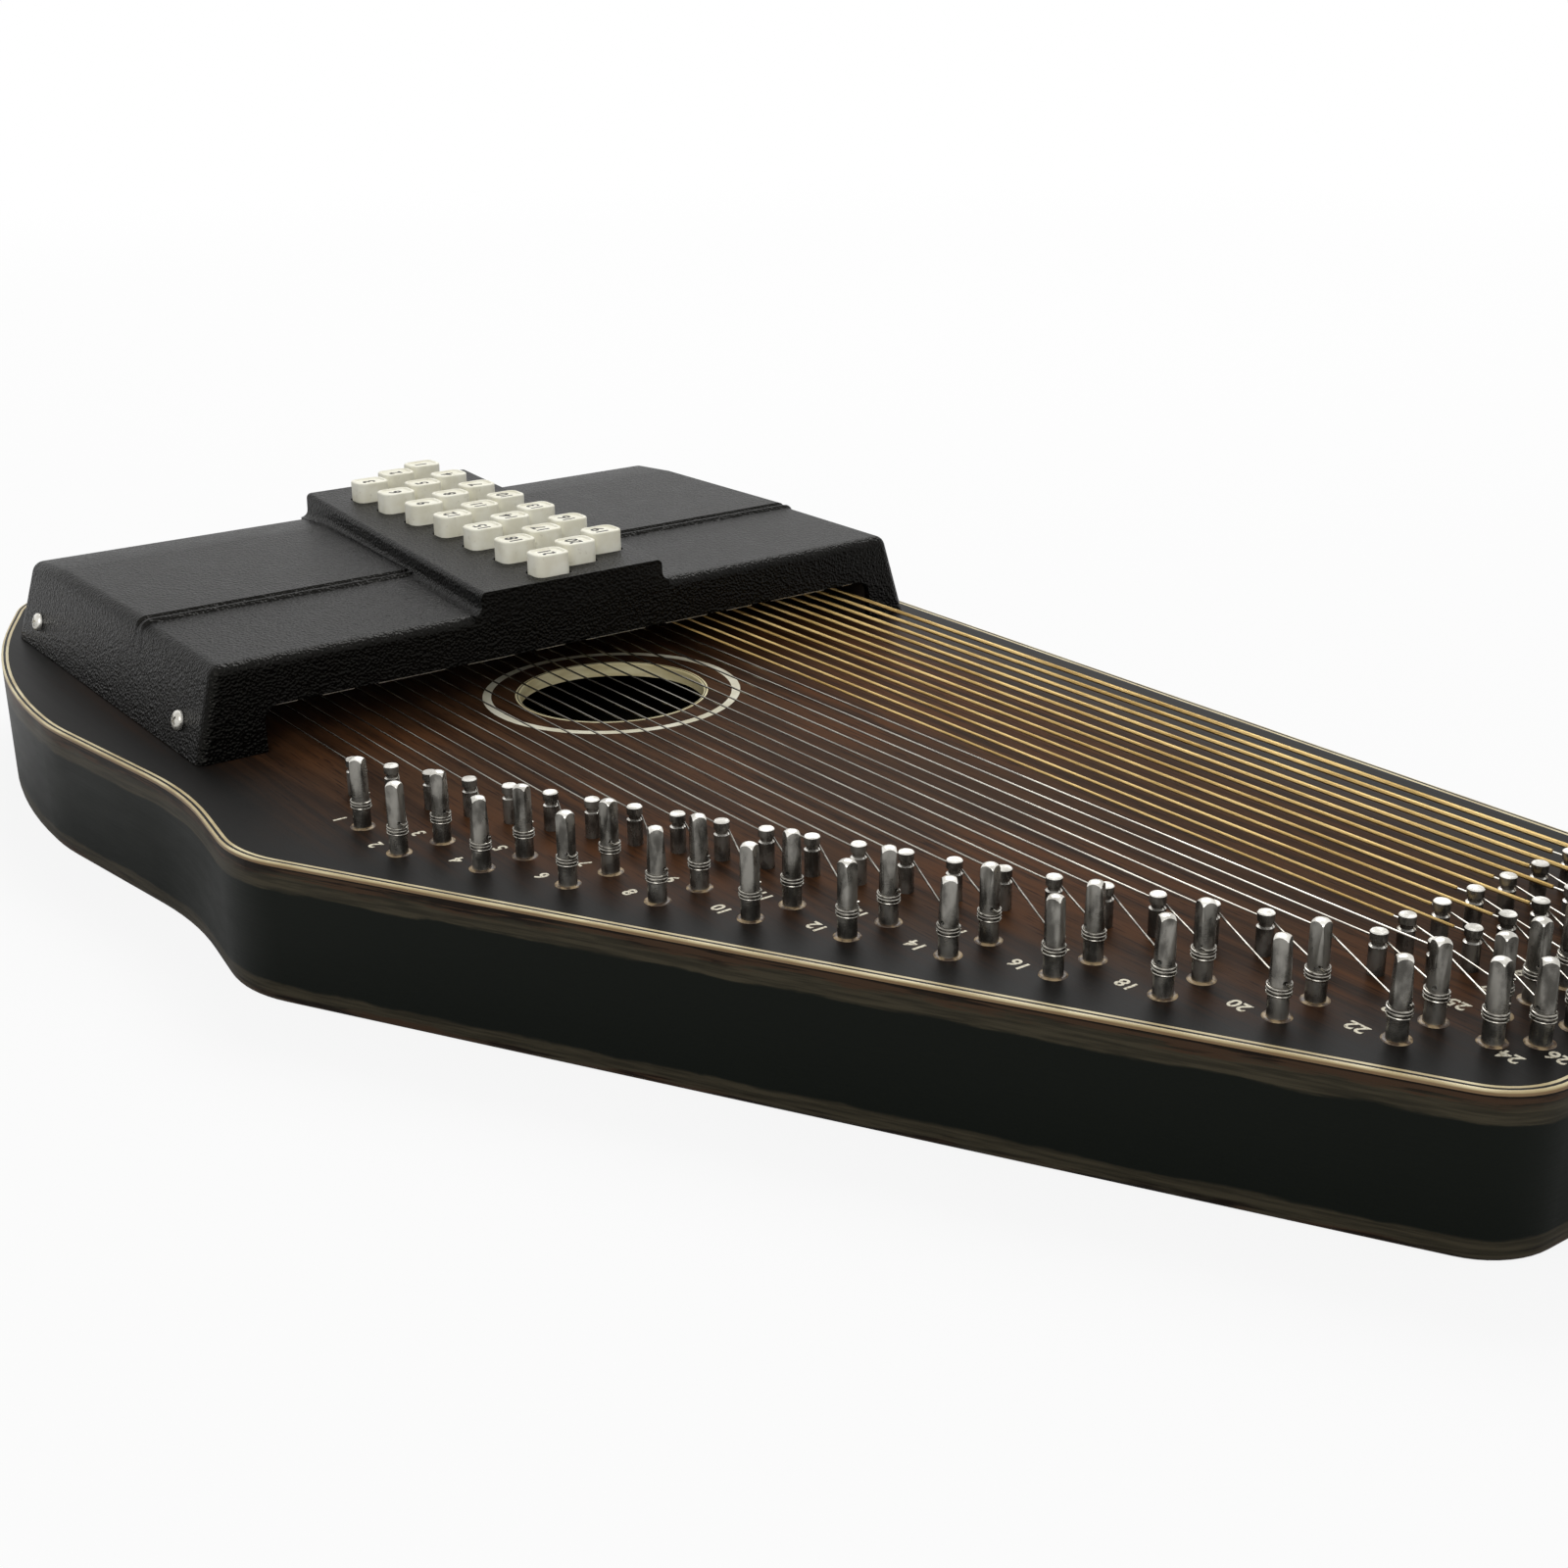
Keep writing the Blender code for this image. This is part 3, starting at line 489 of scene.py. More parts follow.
def figures(number, size):
    """A plain number as a thin solid around the origin, to be read from the bass side."""
    text = bpy.data.curves.new("figures", "FONT")
    text.body = str(number)
    text.size = size
    text.extrude = INK_RISE
    text.offset = BOLDER
    text.resolution_u = 3
    text.align_x, text.align_y = "CENTER", "CENTER"
    mesh = shape_of("figures", text)
    mesh.transform(Matrix.Rotation(math.pi, 4, "Z"))
    return mesh

# %% [markdown]
# ## The outline
# The body's edge is straight on the bass side and swells, dips and swells again on the treble
# side. It could be traced with a Bezier curve. Here each corner is one vertex spun about the
# centre of its arc, as a maker would swing a compass, because then the same loop can be drawn
# again any distance further in, for the binding, the sides and the plates.

# %% A profile carried round the rim
ARC_SAG = 0.00004


def rim_band(bm, profile, closed=True):
    """Carries a profile of (inside, height) points round the outline."""
    spots = [Vector((x, y, 0)) for x, y, _ in CORNERS]
    geom = begin = reached = None
    for index, (_, _, radius) in enumerate(CORNERS):
        back = (spots[index - 1] - spots[index]).normalized()
        onward = (spots[(index + 1) % len(spots)] - spots[index]).normalized()
        half = back.angle(onward) / 2
        centre = spots[index] + (back + onward).normalized() * radius / math.sin(half)
        first = spots[index] + back * radius / math.tan(half)
        turn = math.copysign(math.pi - 2 * half, onward.cross(back).z)
        steps = math.ceil(abs(turn) * math.sqrt(radius / (8 * ARC_SAG)))
        if geom:
            geom = bmesh.ops.spin(bm, geom=geom, axis=(0, 0, 1), dvec=first - reached,
                                  steps=1)["geom_last"]
        else:
            inward = (centre - first) / math.copysign(radius, turn)
            section = [first + inward * inside + Vector((0, 0, height))
                       for inside, height in profile]
            geom = drawn(bm, section, closed)
            begin = first
        geom = bmesh.ops.spin(bm, geom=geom, cent=centre, axis=(0, 0, 1), angle=turn,
                              steps=steps)["geom_last"]
        reached = spots[index] + onward * radius / math.tan(half)
    bmesh.ops.spin(bm, geom=geom, axis=(0, 0, 1), dvec=begin - reached, steps=1)
    bmesh.ops.remove_doubles(bm, verts=bm.verts, dist=SAME_PLACE)


def hole_band(bm, profile, closed=True):
    """Turns a profile of (radius, height) points about the middle of the sound hole."""
    turned(bm, profile, HOLE_STEPS, (*HOLE, 0), closed)


def open_edges(bm, test):
    """Edges with a face on one side only, whose middle passes a test of its place."""
    return [edge for edge in bm.edges if len(edge.link_faces) == 1
            and test((edge.verts[0].co + edge.verts[1].co) / 2)]


HOLE = (TAIL + 0.2376, TREBLE + 0.160)
HOLE_STEPS = 96
HOLE_RADIUS = 0.0302
HOLE_BINDING = 0.0014
ROSETTE_RADIUS = 0.0422
ROSETTE_WIDTH = 0.0028
ROSETTE_DEPTH = 0.001
BINDING_WIDTH = 0.0024
BINDING_DEPTH = 0.0012

# %% [markdown]
# ## The soundboard's finish
# The top is laminated wood under a dark sunburst: a red-brown middle whose grain still shows,
# sprayed to near black towards the edge. An image could paint this, but a sum is kinder: the mesh
# stores at each corner how far the rim is, and the finish fades the spray over that distance. The
# sprayed rim is glossier than the worn middle, so the coat follows the spray. Old lacquer has
# yellowed, so its shine is a little warm.

# %% Sunburst lacquer
WARM_SHINE = (1.0, 0.96, 0.86)
SPRAY_BLACK = (0.0075, 0.0070, 0.0064)
GRAIN_DARK = (0.026, 0.0125, 0.0066)
GRAIN_LIGHT = (0.070, 0.033, 0.0155)
STAIN_RED = (0.096, 0.037, 0.014)
PORE_DARK = (0.009, 0.005, 0.004)
SPRAY_FADE = (0.007, 0.050)


def sunburst_finish():
    finish = Finish("sunburst_lacquer", specular_ior_level=0.02, specular_tint=WARM_SHINE,
                    coat_roughness=0.42)
    streaks = finish.noise(7, 260, 7, detail=6.0, roughness=0.6)
    pores = finish.noise(85, 1700, 85, detail=2.0)
    cloud = finish.noise(14, 14, 14, detail=2.0)
    rim = finish.stored("rim") + (cloud - 0.5) * 0.018 + (streaks - 0.5) * 0.01
    wood = finish.mix(streaks.ease(0.32, 0.70), GRAIN_DARK, GRAIN_LIGHT)
    wood = finish.mix(cloud.ease(0.45, 0.72) * streaks.ease(0.35, 0.60) * 0.8, wood, STAIN_RED)
    wood = finish.mix(pores.ease(0.56, 0.70) * 0.75, wood, PORE_DARK)
    bare = rim.ease(*SPRAY_FADE)
    finish.paint(base_color=finish.mix(bare, SPRAY_BLACK, wood), roughness=0.36 + streaks * 0.16,
                 coat_weight=0.17 - bare * 0.15)
    finish.bump(pores, 0.00004)
    return finish


sunburst = sunburst_finish()
print("sunburst:", len(sunburst.tree.nodes), "nodes")

# %% [markdown]
# ## The finish of the sides
# The sides are painted black with a touch of green. Along the top and bottom edges the maker left
# a band of the laminated wood showing: red-brown at the very edge, then an olive brown that ends
# in a fairly clean line where the paint begins. One finish does it for the sides and both plates'
# edges, because it only needs the height and streaks that run level round the body.

# %% Painted and bare wood
SIDE_BLACK = (0.0042, 0.0058, 0.0046)
OLIVE_DARK = (0.023, 0.020, 0.013)
OLIVE_LIGHT = (0.046, 0.039, 0.025)
EDGE_DARK = (0.008, 0.005, 0.0035)
EDGE_RED = (0.046, 0.026, 0.015)
UPPER_BAND = (0.0333, 0.0343)
LOWER_BAND = (0.0050, 0.0060)
UPPER_RED = (0.0372, 0.0392)
LOWER_RED = (0.0005, 0.0025)
SEAM = TOP - BINDING_DEPTH


def side_finish():
    finish = Finish("side_paint", specular_ior_level=0.09, specular_tint=WARM_SHINE)
    streaks = finish.noise(48, 48, 950, detail=4.0, roughness=0.6)
    ragged = finish.noise(60, 60, 190, detail=4.0)
    patches = finish.noise(22, 22, 90, detail=2.0)
    height = finish.along("Z")
    level = height + (streaks - 0.5) * 0.0015 + (ragged - 0.5) * 0.003
    bare = level.ease(*UPPER_BAND).most(1 - level.ease(*LOWER_BAND))
    grain = height + (streaks - 0.5) * 0.006 + (ragged - 0.5) * 0.007
    edge = grain.ease(*UPPER_RED).most(1 - grain.ease(*LOWER_RED))
    olive = finish.mix(streaks.ease(0.35, 0.65), OLIVE_DARK, OLIVE_LIGHT)
    # Just under the binding the red streaks give way to the dark wood colour: a line of painted
    # shade in the gap there.
    shade_under_binding = height.ease(SEAM - 0.0006, SEAM - 0.0003)
    red = finish.mix((streaks * 1.6 + patches).ease(1.20, 1.42) * (1 - shade_under_binding), EDGE_DARK, EDGE_RED)
    finish.paint(base_color=finish.mix(bare, SIDE_BLACK, finish.mix(edge, olive, red)),
                 roughness=0.33 + ragged * 0.14)
    finish.bump(streaks, 0.00006)
    return finish


side_paint = side_finish()
print("side paint:", len(side_paint.tree.nodes), "nodes")

# %% [markdown]
# ## The soundboard
# On the real harp it is a thin plate with a rebate round the edge for the binding, a ring-shaped
# groove for the rosette and the round hole. A plate of one big face can't hold the rim's
# distance, so the flat top is cut into squares by planes after it is filled.

# %% Soundboard
SQUARE = 0.008


def soundboard():
    bm = bmesh.new()
    shelf = TOP - BINDING_DEPTH
    rim_band(bm, ((0, TOP - PLATE), (0, shelf), (BINDING_WIDTH, shelf), (BINDING_WIDTH, TOP)),
             False)
    inner = ROSETTE_RADIUS - ROSETTE_WIDTH
    hole_band(bm, ((ROSETTE_RADIUS, TOP), (ROSETTE_RADIUS, TOP - ROSETTE_DEPTH),
                   (inner, TOP - ROSETTE_DEPTH), (inner, TOP)), False)
    edge = HOLE_RADIUS + HOLE_BINDING
    hole_band(bm, ((edge, TOP), (edge, TOP - PLATE)), False)
    middle = Vector(HOLE)
    groove = inner + ROSETTE_WIDTH / 2

    def upper(spot, within):
        return spot.z > shelf and ((spot.xy - middle).length < groove) == within

    for test in (lambda spot: spot.z < shelf, lambda spot: upper(spot, False),
                 lambda spot: upper(spot, True)):
        bmesh.ops.triangle_fill(bm, use_beauty=True, edges=open_edges(bm, test))
    for axis, low, high in ((0, TAIL, PIN_END), (1, TREBLE, BASS)):
        for step in range(1, math.ceil((high - low) / SQUARE)):
            place, way = Vector(), Vector()
            place[axis], way[axis] = low + step * SQUARE, 1
            bmesh.ops.bisect_plane(bm, geom=whole(bm), plane_co=place, plane_no=way)
    wall_bm = bmesh.new()
    rim_band(wall_bm, ((0, 0), (0, TOP)), False)
    tree = BVHTree.FromBMesh(wall_bm)
    wall_bm.free()
    rim = bm.verts.layers.float.new("rim")
    for vert in bm.verts:
        vert[rim] = tree.find_nearest((vert.co.x, vert.co.y, TOP / 2))[3]
    bm.normal_update()
    for face in bm.faces:
        if abs(face.normal.z) < 0.5 and all(vert[rim] < BINDING_WIDTH / 2 for vert in face.verts):
            face.material_index = 1
    print("soundboard:", len(bm.faces), "faces")
    return piece("sunburst_board", bm, [sunburst, side_paint], ["soundboard"])


soundboard()

# %% [markdown]
# ## The sides and the back
# A bent side could be lofted between two outlines. The wall's section is a plain rectangle all
# the way round, so it is carried round the rim as the binding's will be. The back plate's lower
# edge is eased by a quarter circle in its section.

# %% Sides, back plate and the blocks inside
SIDE_WALL = 0.012
BACK_ROUND = 0.0016
FLOOR_OF_SIDES = PLATE
CEILING_OF_SIDES = TOP - PLATE


def close_ends(bm):
    """Fills the lower and the upper opening of an upright wall."""
    middle = sum(vert.co.z for vert in bm.verts) / len(bm.verts)
    for low in (True, False):
        edges = open_edges(bm, lambda spot: (spot.z < middle) == low)
        bmesh.ops.contextual_create(bm, geom=edges)


def sides():
    bm = bmesh.new()
    rim_band(bm, ((0, FLOOR_OF_SIDES), (0, CEILING_OF_SIDES), (SIDE_WALL, CEILING_OF_SIDES),
                  (SIDE_WALL, FLOOR_OF_SIDES)))
    return piece("painted_sides", bm, [side_paint], ["treble_rail", "bass_rail"])


def back_plate():
    bm = bmesh.new()
    profile = [(0, PLATE)]
    for step in range(5):
        angle = math.pi / 8 * step
        profile.append((BACK_ROUND * (1 - math.cos(angle)), BACK_ROUND * (1 - math.sin(angle))))
    rim_band(bm, profile, False)
    close_ends(bm)
    return piece("back_plate", bm, [side_paint], ["back_panel"])


def inner_block(name, node, planes, tool=None):
    """A block that fills a part of the body inside its sides."""
    bm = bmesh.new()
    inside = SIDE_WALL + GAP
    rim_band(bm, ((inside, FLOOR_OF_SIDES + GAP), (inside, CEILING_OF_SIDES - GAP)), False)
    close_ends(bm)
    for place, outward in planes:
        cut_off(bm, place, outward)
    if tool:
        bm = combine(bm, tool)
    return piece(name, bm, [holder_wood], [node])

# %% [markdown]
# ## Wood out of sight
# The tail block and the pin block fill the body's ends and take the strings' pull. They are hard
# maple, seen only through the sound hole. The two holders that carry the bars under the cover are
# the same wood, stained black. Either needs no more than long, level streaks with a little shade
# between them, so one function makes both.

# %% Maple
def maple_finish(name, dark, light):
    finish = Finish(name, specular_ior_level=0.3)
    streaks = finish.noise(12, 240, 60, detail=5.0)
    finish.paint(base_color=finish.mix(streaks.ease(0.35, 0.65), dark, light),
                 roughness=0.55 + streaks * 0.2)
    finish.bump(streaks, 0.00005)
    return finish


holder_wood = maple_finish("maple", (0.24, 0.15, 0.08), (0.40, 0.28, 0.16))
stained_wood = maple_finish("stained_maple", (0.010, 0.008, 0.007), (0.026, 0.020, 0.016))
for name in ("treble_bar_holder", "bass_bar_holder"):
    nodes[name].data.materials.clear()
    nodes[name].data.materials.append(stained_wood.material)

# %% Make the sides, the back and the blocks
BLOCK_START = FIRST_GUIDE - 0.039
TAIL_BLOCK_END = TAIL + 0.052
BLOCK_MARGIN = 0.011
BLOCK_END_STRIP = PIN_END - END_GUIDE_BACK[1] - BLOCK_MARGIN
BLOCK_STRIP = (guide_spot(1).y - pin_edge(guide_spot(1).x)
               + BLOCK_MARGIN * math.hypot(1, PIN_EDGE_SLOPE))


def beyond_pins():
    """The room between the pin field and the bass side, which the block leaves free."""
    bm = bmesh.new()
    block(bm, (TAIL, TREBLE, 0), (BLOCK_END_STRIP, 2 * BASS, TOP))
    strip_y = pin_edge(BLOCK_END_STRIP) + BLOCK_STRIP
    cut_off(bm, (BLOCK_END_STRIP, strip_y, 0), (PIN_EDGE_SLOPE, -1, 0))
    return bm


sides()
back_plate()
inner_block("tail_inner_block", "tail_block", [((TAIL_BLOCK_END, 0, 0), (1, 0, 0))])
inner_block("pin_inner_block", "pin_block", [((BLOCK_START, 0, 0), (-1, 0, 0))], beyond_pins())
print("body closed")

# %% [markdown]
# ## Binding and rosette
# Three thin strips of plastic run round the top edge: a cream one that covers the corner, a black
# line and a second cream line. Round the hole lies a wider cream ring in its groove, and the
# hole's own edge is cream too, with a thin dark line. They are real strips here, each its own
# closed ring, so the edge catches the light as the strips do.

# %% Cream and black plastic
def cream_finish():
    finish = Finish("cream_plastic", roughness=0.38, specular_ior_level=0.4)
    aged = finish.noise(60, 60, 900, detail=3.0)
    amber = 1 - finish.along("Z").ease(TOP - 0.0007, TOP - 0.0001)
    cream = finish.mix(aged.ease(0.38, 0.68), (0.50, 0.40, 0.21), (0.74, 0.64, 0.39))
    return finish.paint(base_color=finish.mix(amber * 0.92, cream, (0.15, 0.080, 0.028)))


def ring_finish(name, thin, full):
    finish = Finish(name, roughness=0.4, specular_ior_level=0.35)
    aged = finish.noise(90, 90, 300, detail=3.0)
    return finish.paint(base_color=finish.mix(aged.ease(0.35, 0.7), thin, full))


def line_finish():
    finish = Finish("black_line_plastic", specular_ior_level=0.1)
    aged = finish.noise(200, 200, 200)
    return finish.paint(base_color=finish.mix(aged.ease(0.3, 0.7), (0.006, 0.006, 0.006),
                                              (0.016, 0.014, 0.012)), roughness=0.3 + aged * 0.3)


cream, black_line = cream_finish(), line_finish()
pale_ring = ring_finish("pale_ring_plastic", (0.64, 0.60, 0.44), (0.86, 0.83, 0.68))
yellow_ring = ring_finish("yellow_lining_plastic", (0.72, 0.62, 0.34), (0.92, 0.84, 0.54))

# %% Strips round the rim and rings round the hole
CREAM_STRIP = 0.0007
BLACK_STRIP = 0.0008
CORNER_EASE = 0.00035
LINE_RADIUS = HOLE_RADIUS + 0.0005
EDGE_RADIUS = LINE_RADIUS + 0.00035


def rim_strip(name, finish, outer, inner, ease=0.0):
    """A strip between two distances from the rim. An ease rounds its outer edge."""
    bm = bmesh.new()
    low = TOP - BINDING_DEPTH
    profile = [(outer, low), (outer, TOP - ease), (outer + ease * 0.3, TOP - ease * 0.3),
               (outer + ease, TOP), (inner, TOP), (inner, low)]
    rim_band(bm, profile if ease else [profile[0], (outer, TOP), *profile[4:]])
    return piece(name, bm, [finish], ["edge_binding"])


rim_strip("binding_outer_cream", cream, 0, CREAM_STRIP, CORNER_EASE)
rim_strip("binding_black_line", black_line, CREAM_STRIP, CREAM_STRIP + BLACK_STRIP)
rim_strip("binding_inner_cream", cream, CREAM_STRIP + BLACK_STRIP, BINDING_WIDTH)


def hole_ring(name, first, last, deep, finish, node, ease=0.0):
    """A ring between two radii. An ease takes the corner off its first edge."""
    bm = bmesh.new()
    corner = [(first, TOP - ease), (first + ease, TOP)] if ease else [(first, TOP)]
    hole_band(bm, ((first, TOP - deep), *corner, (last, TOP), (last, TOP - deep)))
    return piece(name, bm, [finish], [node])


hole_ring("rosette", ROSETTE_RADIUS, ROSETTE_RADIUS - ROSETTE_WIDTH, ROSETTE_DEPTH, pale_ring,
          "rosette_ring")
hole_ring("hole_lining", HOLE_RADIUS, LINE_RADIUS, PLATE, yellow_ring, "soundhole_binding",
          CORNER_EASE)
hole_ring("hole_line", LINE_RADIUS, EDGE_RADIUS, PLATE, black_line, "soundhole_binding")
hole_ring("hole_edge", EDGE_RADIUS, HOLE_RADIUS + HOLE_BINDING, PLATE, yellow_ring,
          "soundhole_binding")
trim = [obj for obj in bpy.data.objects if obj.name not in nodes
        and obj.name.startswith(("binding", "hole", "rosette"))]
print("trim:", len(trim), "strips and rings")

# %% [markdown]
# ## Steel pins
# Each string ends on a tuning pin: a round steel peg with a square, slightly tapered head for the
# key. A peg could be a cylinder with a cube on top. The real one is a cylinder with four flats
# milled on it, so here four leaning planes are cut off a domed turned form, which leaves the
# pointed arches that the photograph shows where flat and round meet. The guide pins are plain
# turned pins with a groove. Their flanks get a dark nickel, which is painted shade, and what faces
# up gets a bright one, which is a painted highlight, so a pin has two finishes.

# %% Nickel
def nickel_finish(name, dull, bright):
    finish = Finish(name, metallic=0.8)
    smears = finish.noise(260, 260, 140, detail=3.0)
    rubbed = finish.noise(900, 900, 2600, detail=2.0)
    finish.paint(base_color=finish.mix(smears.ease(0.35, 0.65), dull, bright),
                 roughness=0.10 + smears * 0.34)
    finish.bump(rubbed, 0.00003)
    return finish


# On the pins these two are lit and shaded copies of one nickel: the dark one is painted shade on
# the flanks, the bright one a painted highlight on the tops.
nickel = nickel_finish("nickel", (0.085, 0.080, 0.070), (0.29, 0.278, 0.25))
rubbed_nickel = nickel_finish("rubbed_nickel", (0.52, 0.50, 0.45), (0.88, 0.86, 0.80))

# %% Tuning pins
TUNING_RADIUS = 0.0025
TUNING_HEIGHT = 0.0205
PIN_DOME = 0.0017
PIN_BELOW = 0.001
FLAT_START = 0.0085
FLAT_AT_TOP = 0.00172
PIN_CROWN = 0.0003
WIRE_HOLE = 0.0006
WIRE_HOLE_HEIGHT = 0.0092


def tuning_pin():
    bm = bmesh.new()
    profile = [(0, -PIN_BELOW), (TUNING_RADIUS, -PIN_BELOW)]
    for step in range(7):
        angle = math.pi / 12 * step
        height = TUNING_HEIGHT - PIN_DOME * (1 - math.sin(angle))
        profile.append((TUNING_RADIUS * math.cos(angle), height))
    turned(bm, profile, 32)
    lean = (TUNING_RADIUS - FLAT_AT_TOP) / (TUNING_HEIGHT - FLAT_START)
    for quarter in range(4):
        turn = Matrix.Rotation(quarter * math.pi / 2, 3, "Z")
        cut_off(bm, turn @ Vector((TUNING_RADIUS, 0, FLAT_START)), turn @ Vector((1, 0, lean)))
    crown = [edge for edge in bm.edges if edge.calc_face_angle(0) > SHARP
             and min(vert.co.z for vert in edge.verts) > TUNING_HEIGHT - PIN_DOME]
    bevel(bm, crown, PIN_CROWN, 2)
    drill = bmesh.new()
    level = Matrix.Rotation(math.pi / 4, 4, "Z") @ Matrix.Rotation(math.pi / 2, 4, "Y")
    bmesh.ops.create_cone(drill, cap_ends=True, segments=12, radius1=WIRE_HOLE, radius2=WIRE_HOLE,
                          depth=0.01, matrix=Matrix.Translation((0, 0, WIRE_HOLE_HEIGHT)) @ level)
    return to_mesh(combine(bm, drill), "tuning_pin")


# %% [markdown]
# ## How a string reaches its tuning pin
# A string bears on the guide pin's groove, bends there, and winds up its tuning pin in about
# three turns before its end goes through the small hole. Turning the pin clockwise has to tighten
# it, so it passes both pins on the bass side. The points of that way are worked out once and used
# for the string itself and for how far each pin is turned.

# %% The way of a string
GUIDE_NECK = 0.0016
COIL_PITCH = 0.00085
COIL_START = 0.0058
COIL_STEPS = 18
LEAVE_DRUM = 0.35
ENTER_HOLE = 0.42
BRIDGE_X = TAIL + 0.039
BALL_X = TAIL + 0.0152
random.seed(21)
pin_turns = {number: 2.8 + 0.5 * random.random() for number in NUMBERS}


def around(spot, radius, angle, height):
    """A point at a height over the board and at an angle round a pin."""
    x, y = spot.x + radius * math.cos(angle), spot.y + radius * math.sin(angle)
    return Vector((x, y, TOP + height))


def string_way(number, thick):
    """Points from a string's ball end to the hole in its tuning pin, and the hole's angle."""
    guide, tuner = guide_spot(number), tuning_spot(number)
    away = tuner - guide
    leave = math.atan2(away.y, away.x) + math.pi / 2
    neck, drum = GUIDE_NECK + thick, TUNING_RADIUS + thick
    way = [Vector((BALL_X, string_y(number), TOP + STRING_RISE)),
           Vector((BRIDGE_X, string_y(number), TOP + STRING_RISE))]
    for step in range(4):
        way.append(around(guide, neck, math.pi / 2 + (leave - math.pi / 2) * step / 3, STRING_RISE))
    turns = pin_turns[number]
    steps = round(turns * COIL_STEPS)
    for step in range(steps + 1):
        share = step / steps
        way.append(around(tuner, drum, leave - 2 * math.pi * turns * share,
                          COIL_START + COIL_PITCH * turns * share))
    end = leave - 2 * math.pi * turns
    way.append(around(tuner, drum, end - LEAVE_DRUM, WIRE_HOLE_HEIGHT))
    way.append(around(tuner, TUNING_RADIUS * 0.6, end - ENTER_HOLE, WIRE_HOLE_HEIGHT))
    return way, end - ENTER_HOLE


def wires(name, ways):
    """Round wires along lists of points, each with its own radius."""
    curve = bpy.data.curves.new(name, "CURVE")
    curve.dimensions = "3D"
    curve.bevel_depth = 1.0
    curve.bevel_resolution = 2
    curve.use_fill_caps = True
    for way, radius in ways:
        spline = curve.splines.new("POLY")
        spline.points.add(len(way) - 1)
        for point, spot in zip(spline.points, way):
            point.co = (*spot, 1)
            point.radius = radius
    bm = bmesh.new()
    bm.from_mesh(shape_of(name, curve))
    return bm


# %% Strings: plain wire, and wound wire whose core shows at the pins
PLAIN_RADIUS = 0.00023
CORE_RADIUS = 0.00026
WINDING_PITCH = 0.00042


def plain_radius(number):
    return PLAIN_RADIUS + 0.000003 * number


def winding_radius(number):
    return 0.00040 + 0.000028 * (number - FIRST_WOUND)


def wire_finish():
    finish = Finish("string_wire", metallic=1.0, roughness=0.24)
    worn = finish.noise(40, 900, 900, detail=3.0)
    steel = finish.mix(worn.ease(0.35, 0.65), (0.23, 0.215, 0.19), (0.43, 0.41, 0.36))
    return finish.paint(base_color=steel)


def winding_finish():
    finish = Finish("bronze_winding", metallic=1.0, roughness=0.34)
    dull = finish.noise(30, 600, 600, detail=4.0)
    ridges = (finish.along("X") * (2 * math.pi / WINDING_PITCH)).sine()
    bronze = finish.mix(dull.ease(0.32, 0.68), (0.47, 0.31, 0.105), (0.86, 0.63, 0.27))
    finish.paint(base_color=bronze)
    finish.bump(ridges, 0.00008)
    return finish


wire, winding = wire_finish(), winding_finish()
hole_angles = {}
plain_ways, core_ways = [], []
for number in NUMBERS:
    radius = plain_radius(number) if number < FIRST_WOUND else CORE_RADIUS
    way, hole_angles[number] = string_way(number, radius)
    (plain_ways if number < FIRST_WOUND else core_ways).append((way, radius))
WINDING_FROM = BRIDGE_X + 0.006
WINDING_SHORT = 0.0042
WINDING_STAGGER = 0.0012
winding_ways = []
for number in NUMBERS[FIRST_WOUND - 1:]:
    start, end = core_ways[number - FIRST_WOUND][0][1:3]
    stop = end.x - WINDING_SHORT - WINDING_STAGGER * (number % 3)
    share = [(x - start.x) / (end.x - start.x) for x in (WINDING_FROM, stop)]
    winding_ways.append(([start.lerp(end, part) for part in share], winding_radius(number)))
for name, ways, finish in (("plain_strings", plain_ways, wire),
                           ("wound_string_cores", core_ways, wire),
                           ("string_windings", winding_ways, winding)):
    piece(name, wires(name, ways), [finish], ["strings"])
print("strings:", len(plain_ways), "plain,", len(winding_ways), "wound")

# %% Guide pins and tuning pins in their places
GUIDE_RADIUS = 0.00215
GUIDE_HEIGHT = 0.011
GUIDE_EASE = 0.00025
GUIDE_PROFILE = [(0, -PIN_BELOW), (GUIDE_RADIUS, -PIN_BELOW), (GUIDE_RADIUS, 0.0072),
                 (GUIDE_NECK, 0.0075), (GUIDE_NECK, 0.0085), (GUIDE_RADIUS, 0.0088),
                 (GUIDE_RADIUS, GUIDE_HEIGHT - GUIDE_EASE),
                 (GUIDE_RADIUS - GUIDE_EASE, GUIDE_HEIGHT), (0, GUIDE_HEIGHT)]
FACING_UP = 0.45


def rub_tops(bm):
    """Gives the second, bright finish to what faces upwards: a painted highlight on the tops."""
    bmesh.ops.recalc_face_normals(bm, faces=bm.faces)
    for face in bm.faces:
        if face.normal.z > FACING_UP:
            face.material_index = 1


def set_pins():
    bm = bmesh.new()
    for number in NUMBERS:
        turned(bm, GUIDE_PROFILE, 24, guide_spot(number))
    rub_tops(bm)
    piece("guide_pins", bm, [nickel, rubbed_nickel], ["pin_block"])
    bm = bmesh.new()
    pin = tuning_pin()
    scatter(bm, pin, [Matrix.Translation(tuning_spot(number))
                      @ Matrix.Rotation(hole_angles[number] - math.pi / 4, 4, "Z")
                      for number in NUMBERS])
    rub_tops(bm)
    print("tuning pins:", len(bm.faces), "faces")
    piece("tuning_pins", bm, [nickel, rubbed_nickel], ["pin_block"])


set_pins()

# %% [markdown]
# ## Lacquer round the pins
# The pins were driven in after the last coat, and the lacquer broke and yellowed in a ring round
# each one. The rings are shallow turned washers, just proud of the board, in a mottled amber.

# %% Amber rings
RING_INSIDE = TUNING_RADIUS - 0.0002
RING_PROFILE = [(RING_INSIDE, 0.0003), (0.0030, 0.00028), (0.0034, 0.00016), (0.00365, -0.0001),
                (RING_INSIDE, -0.0001)]


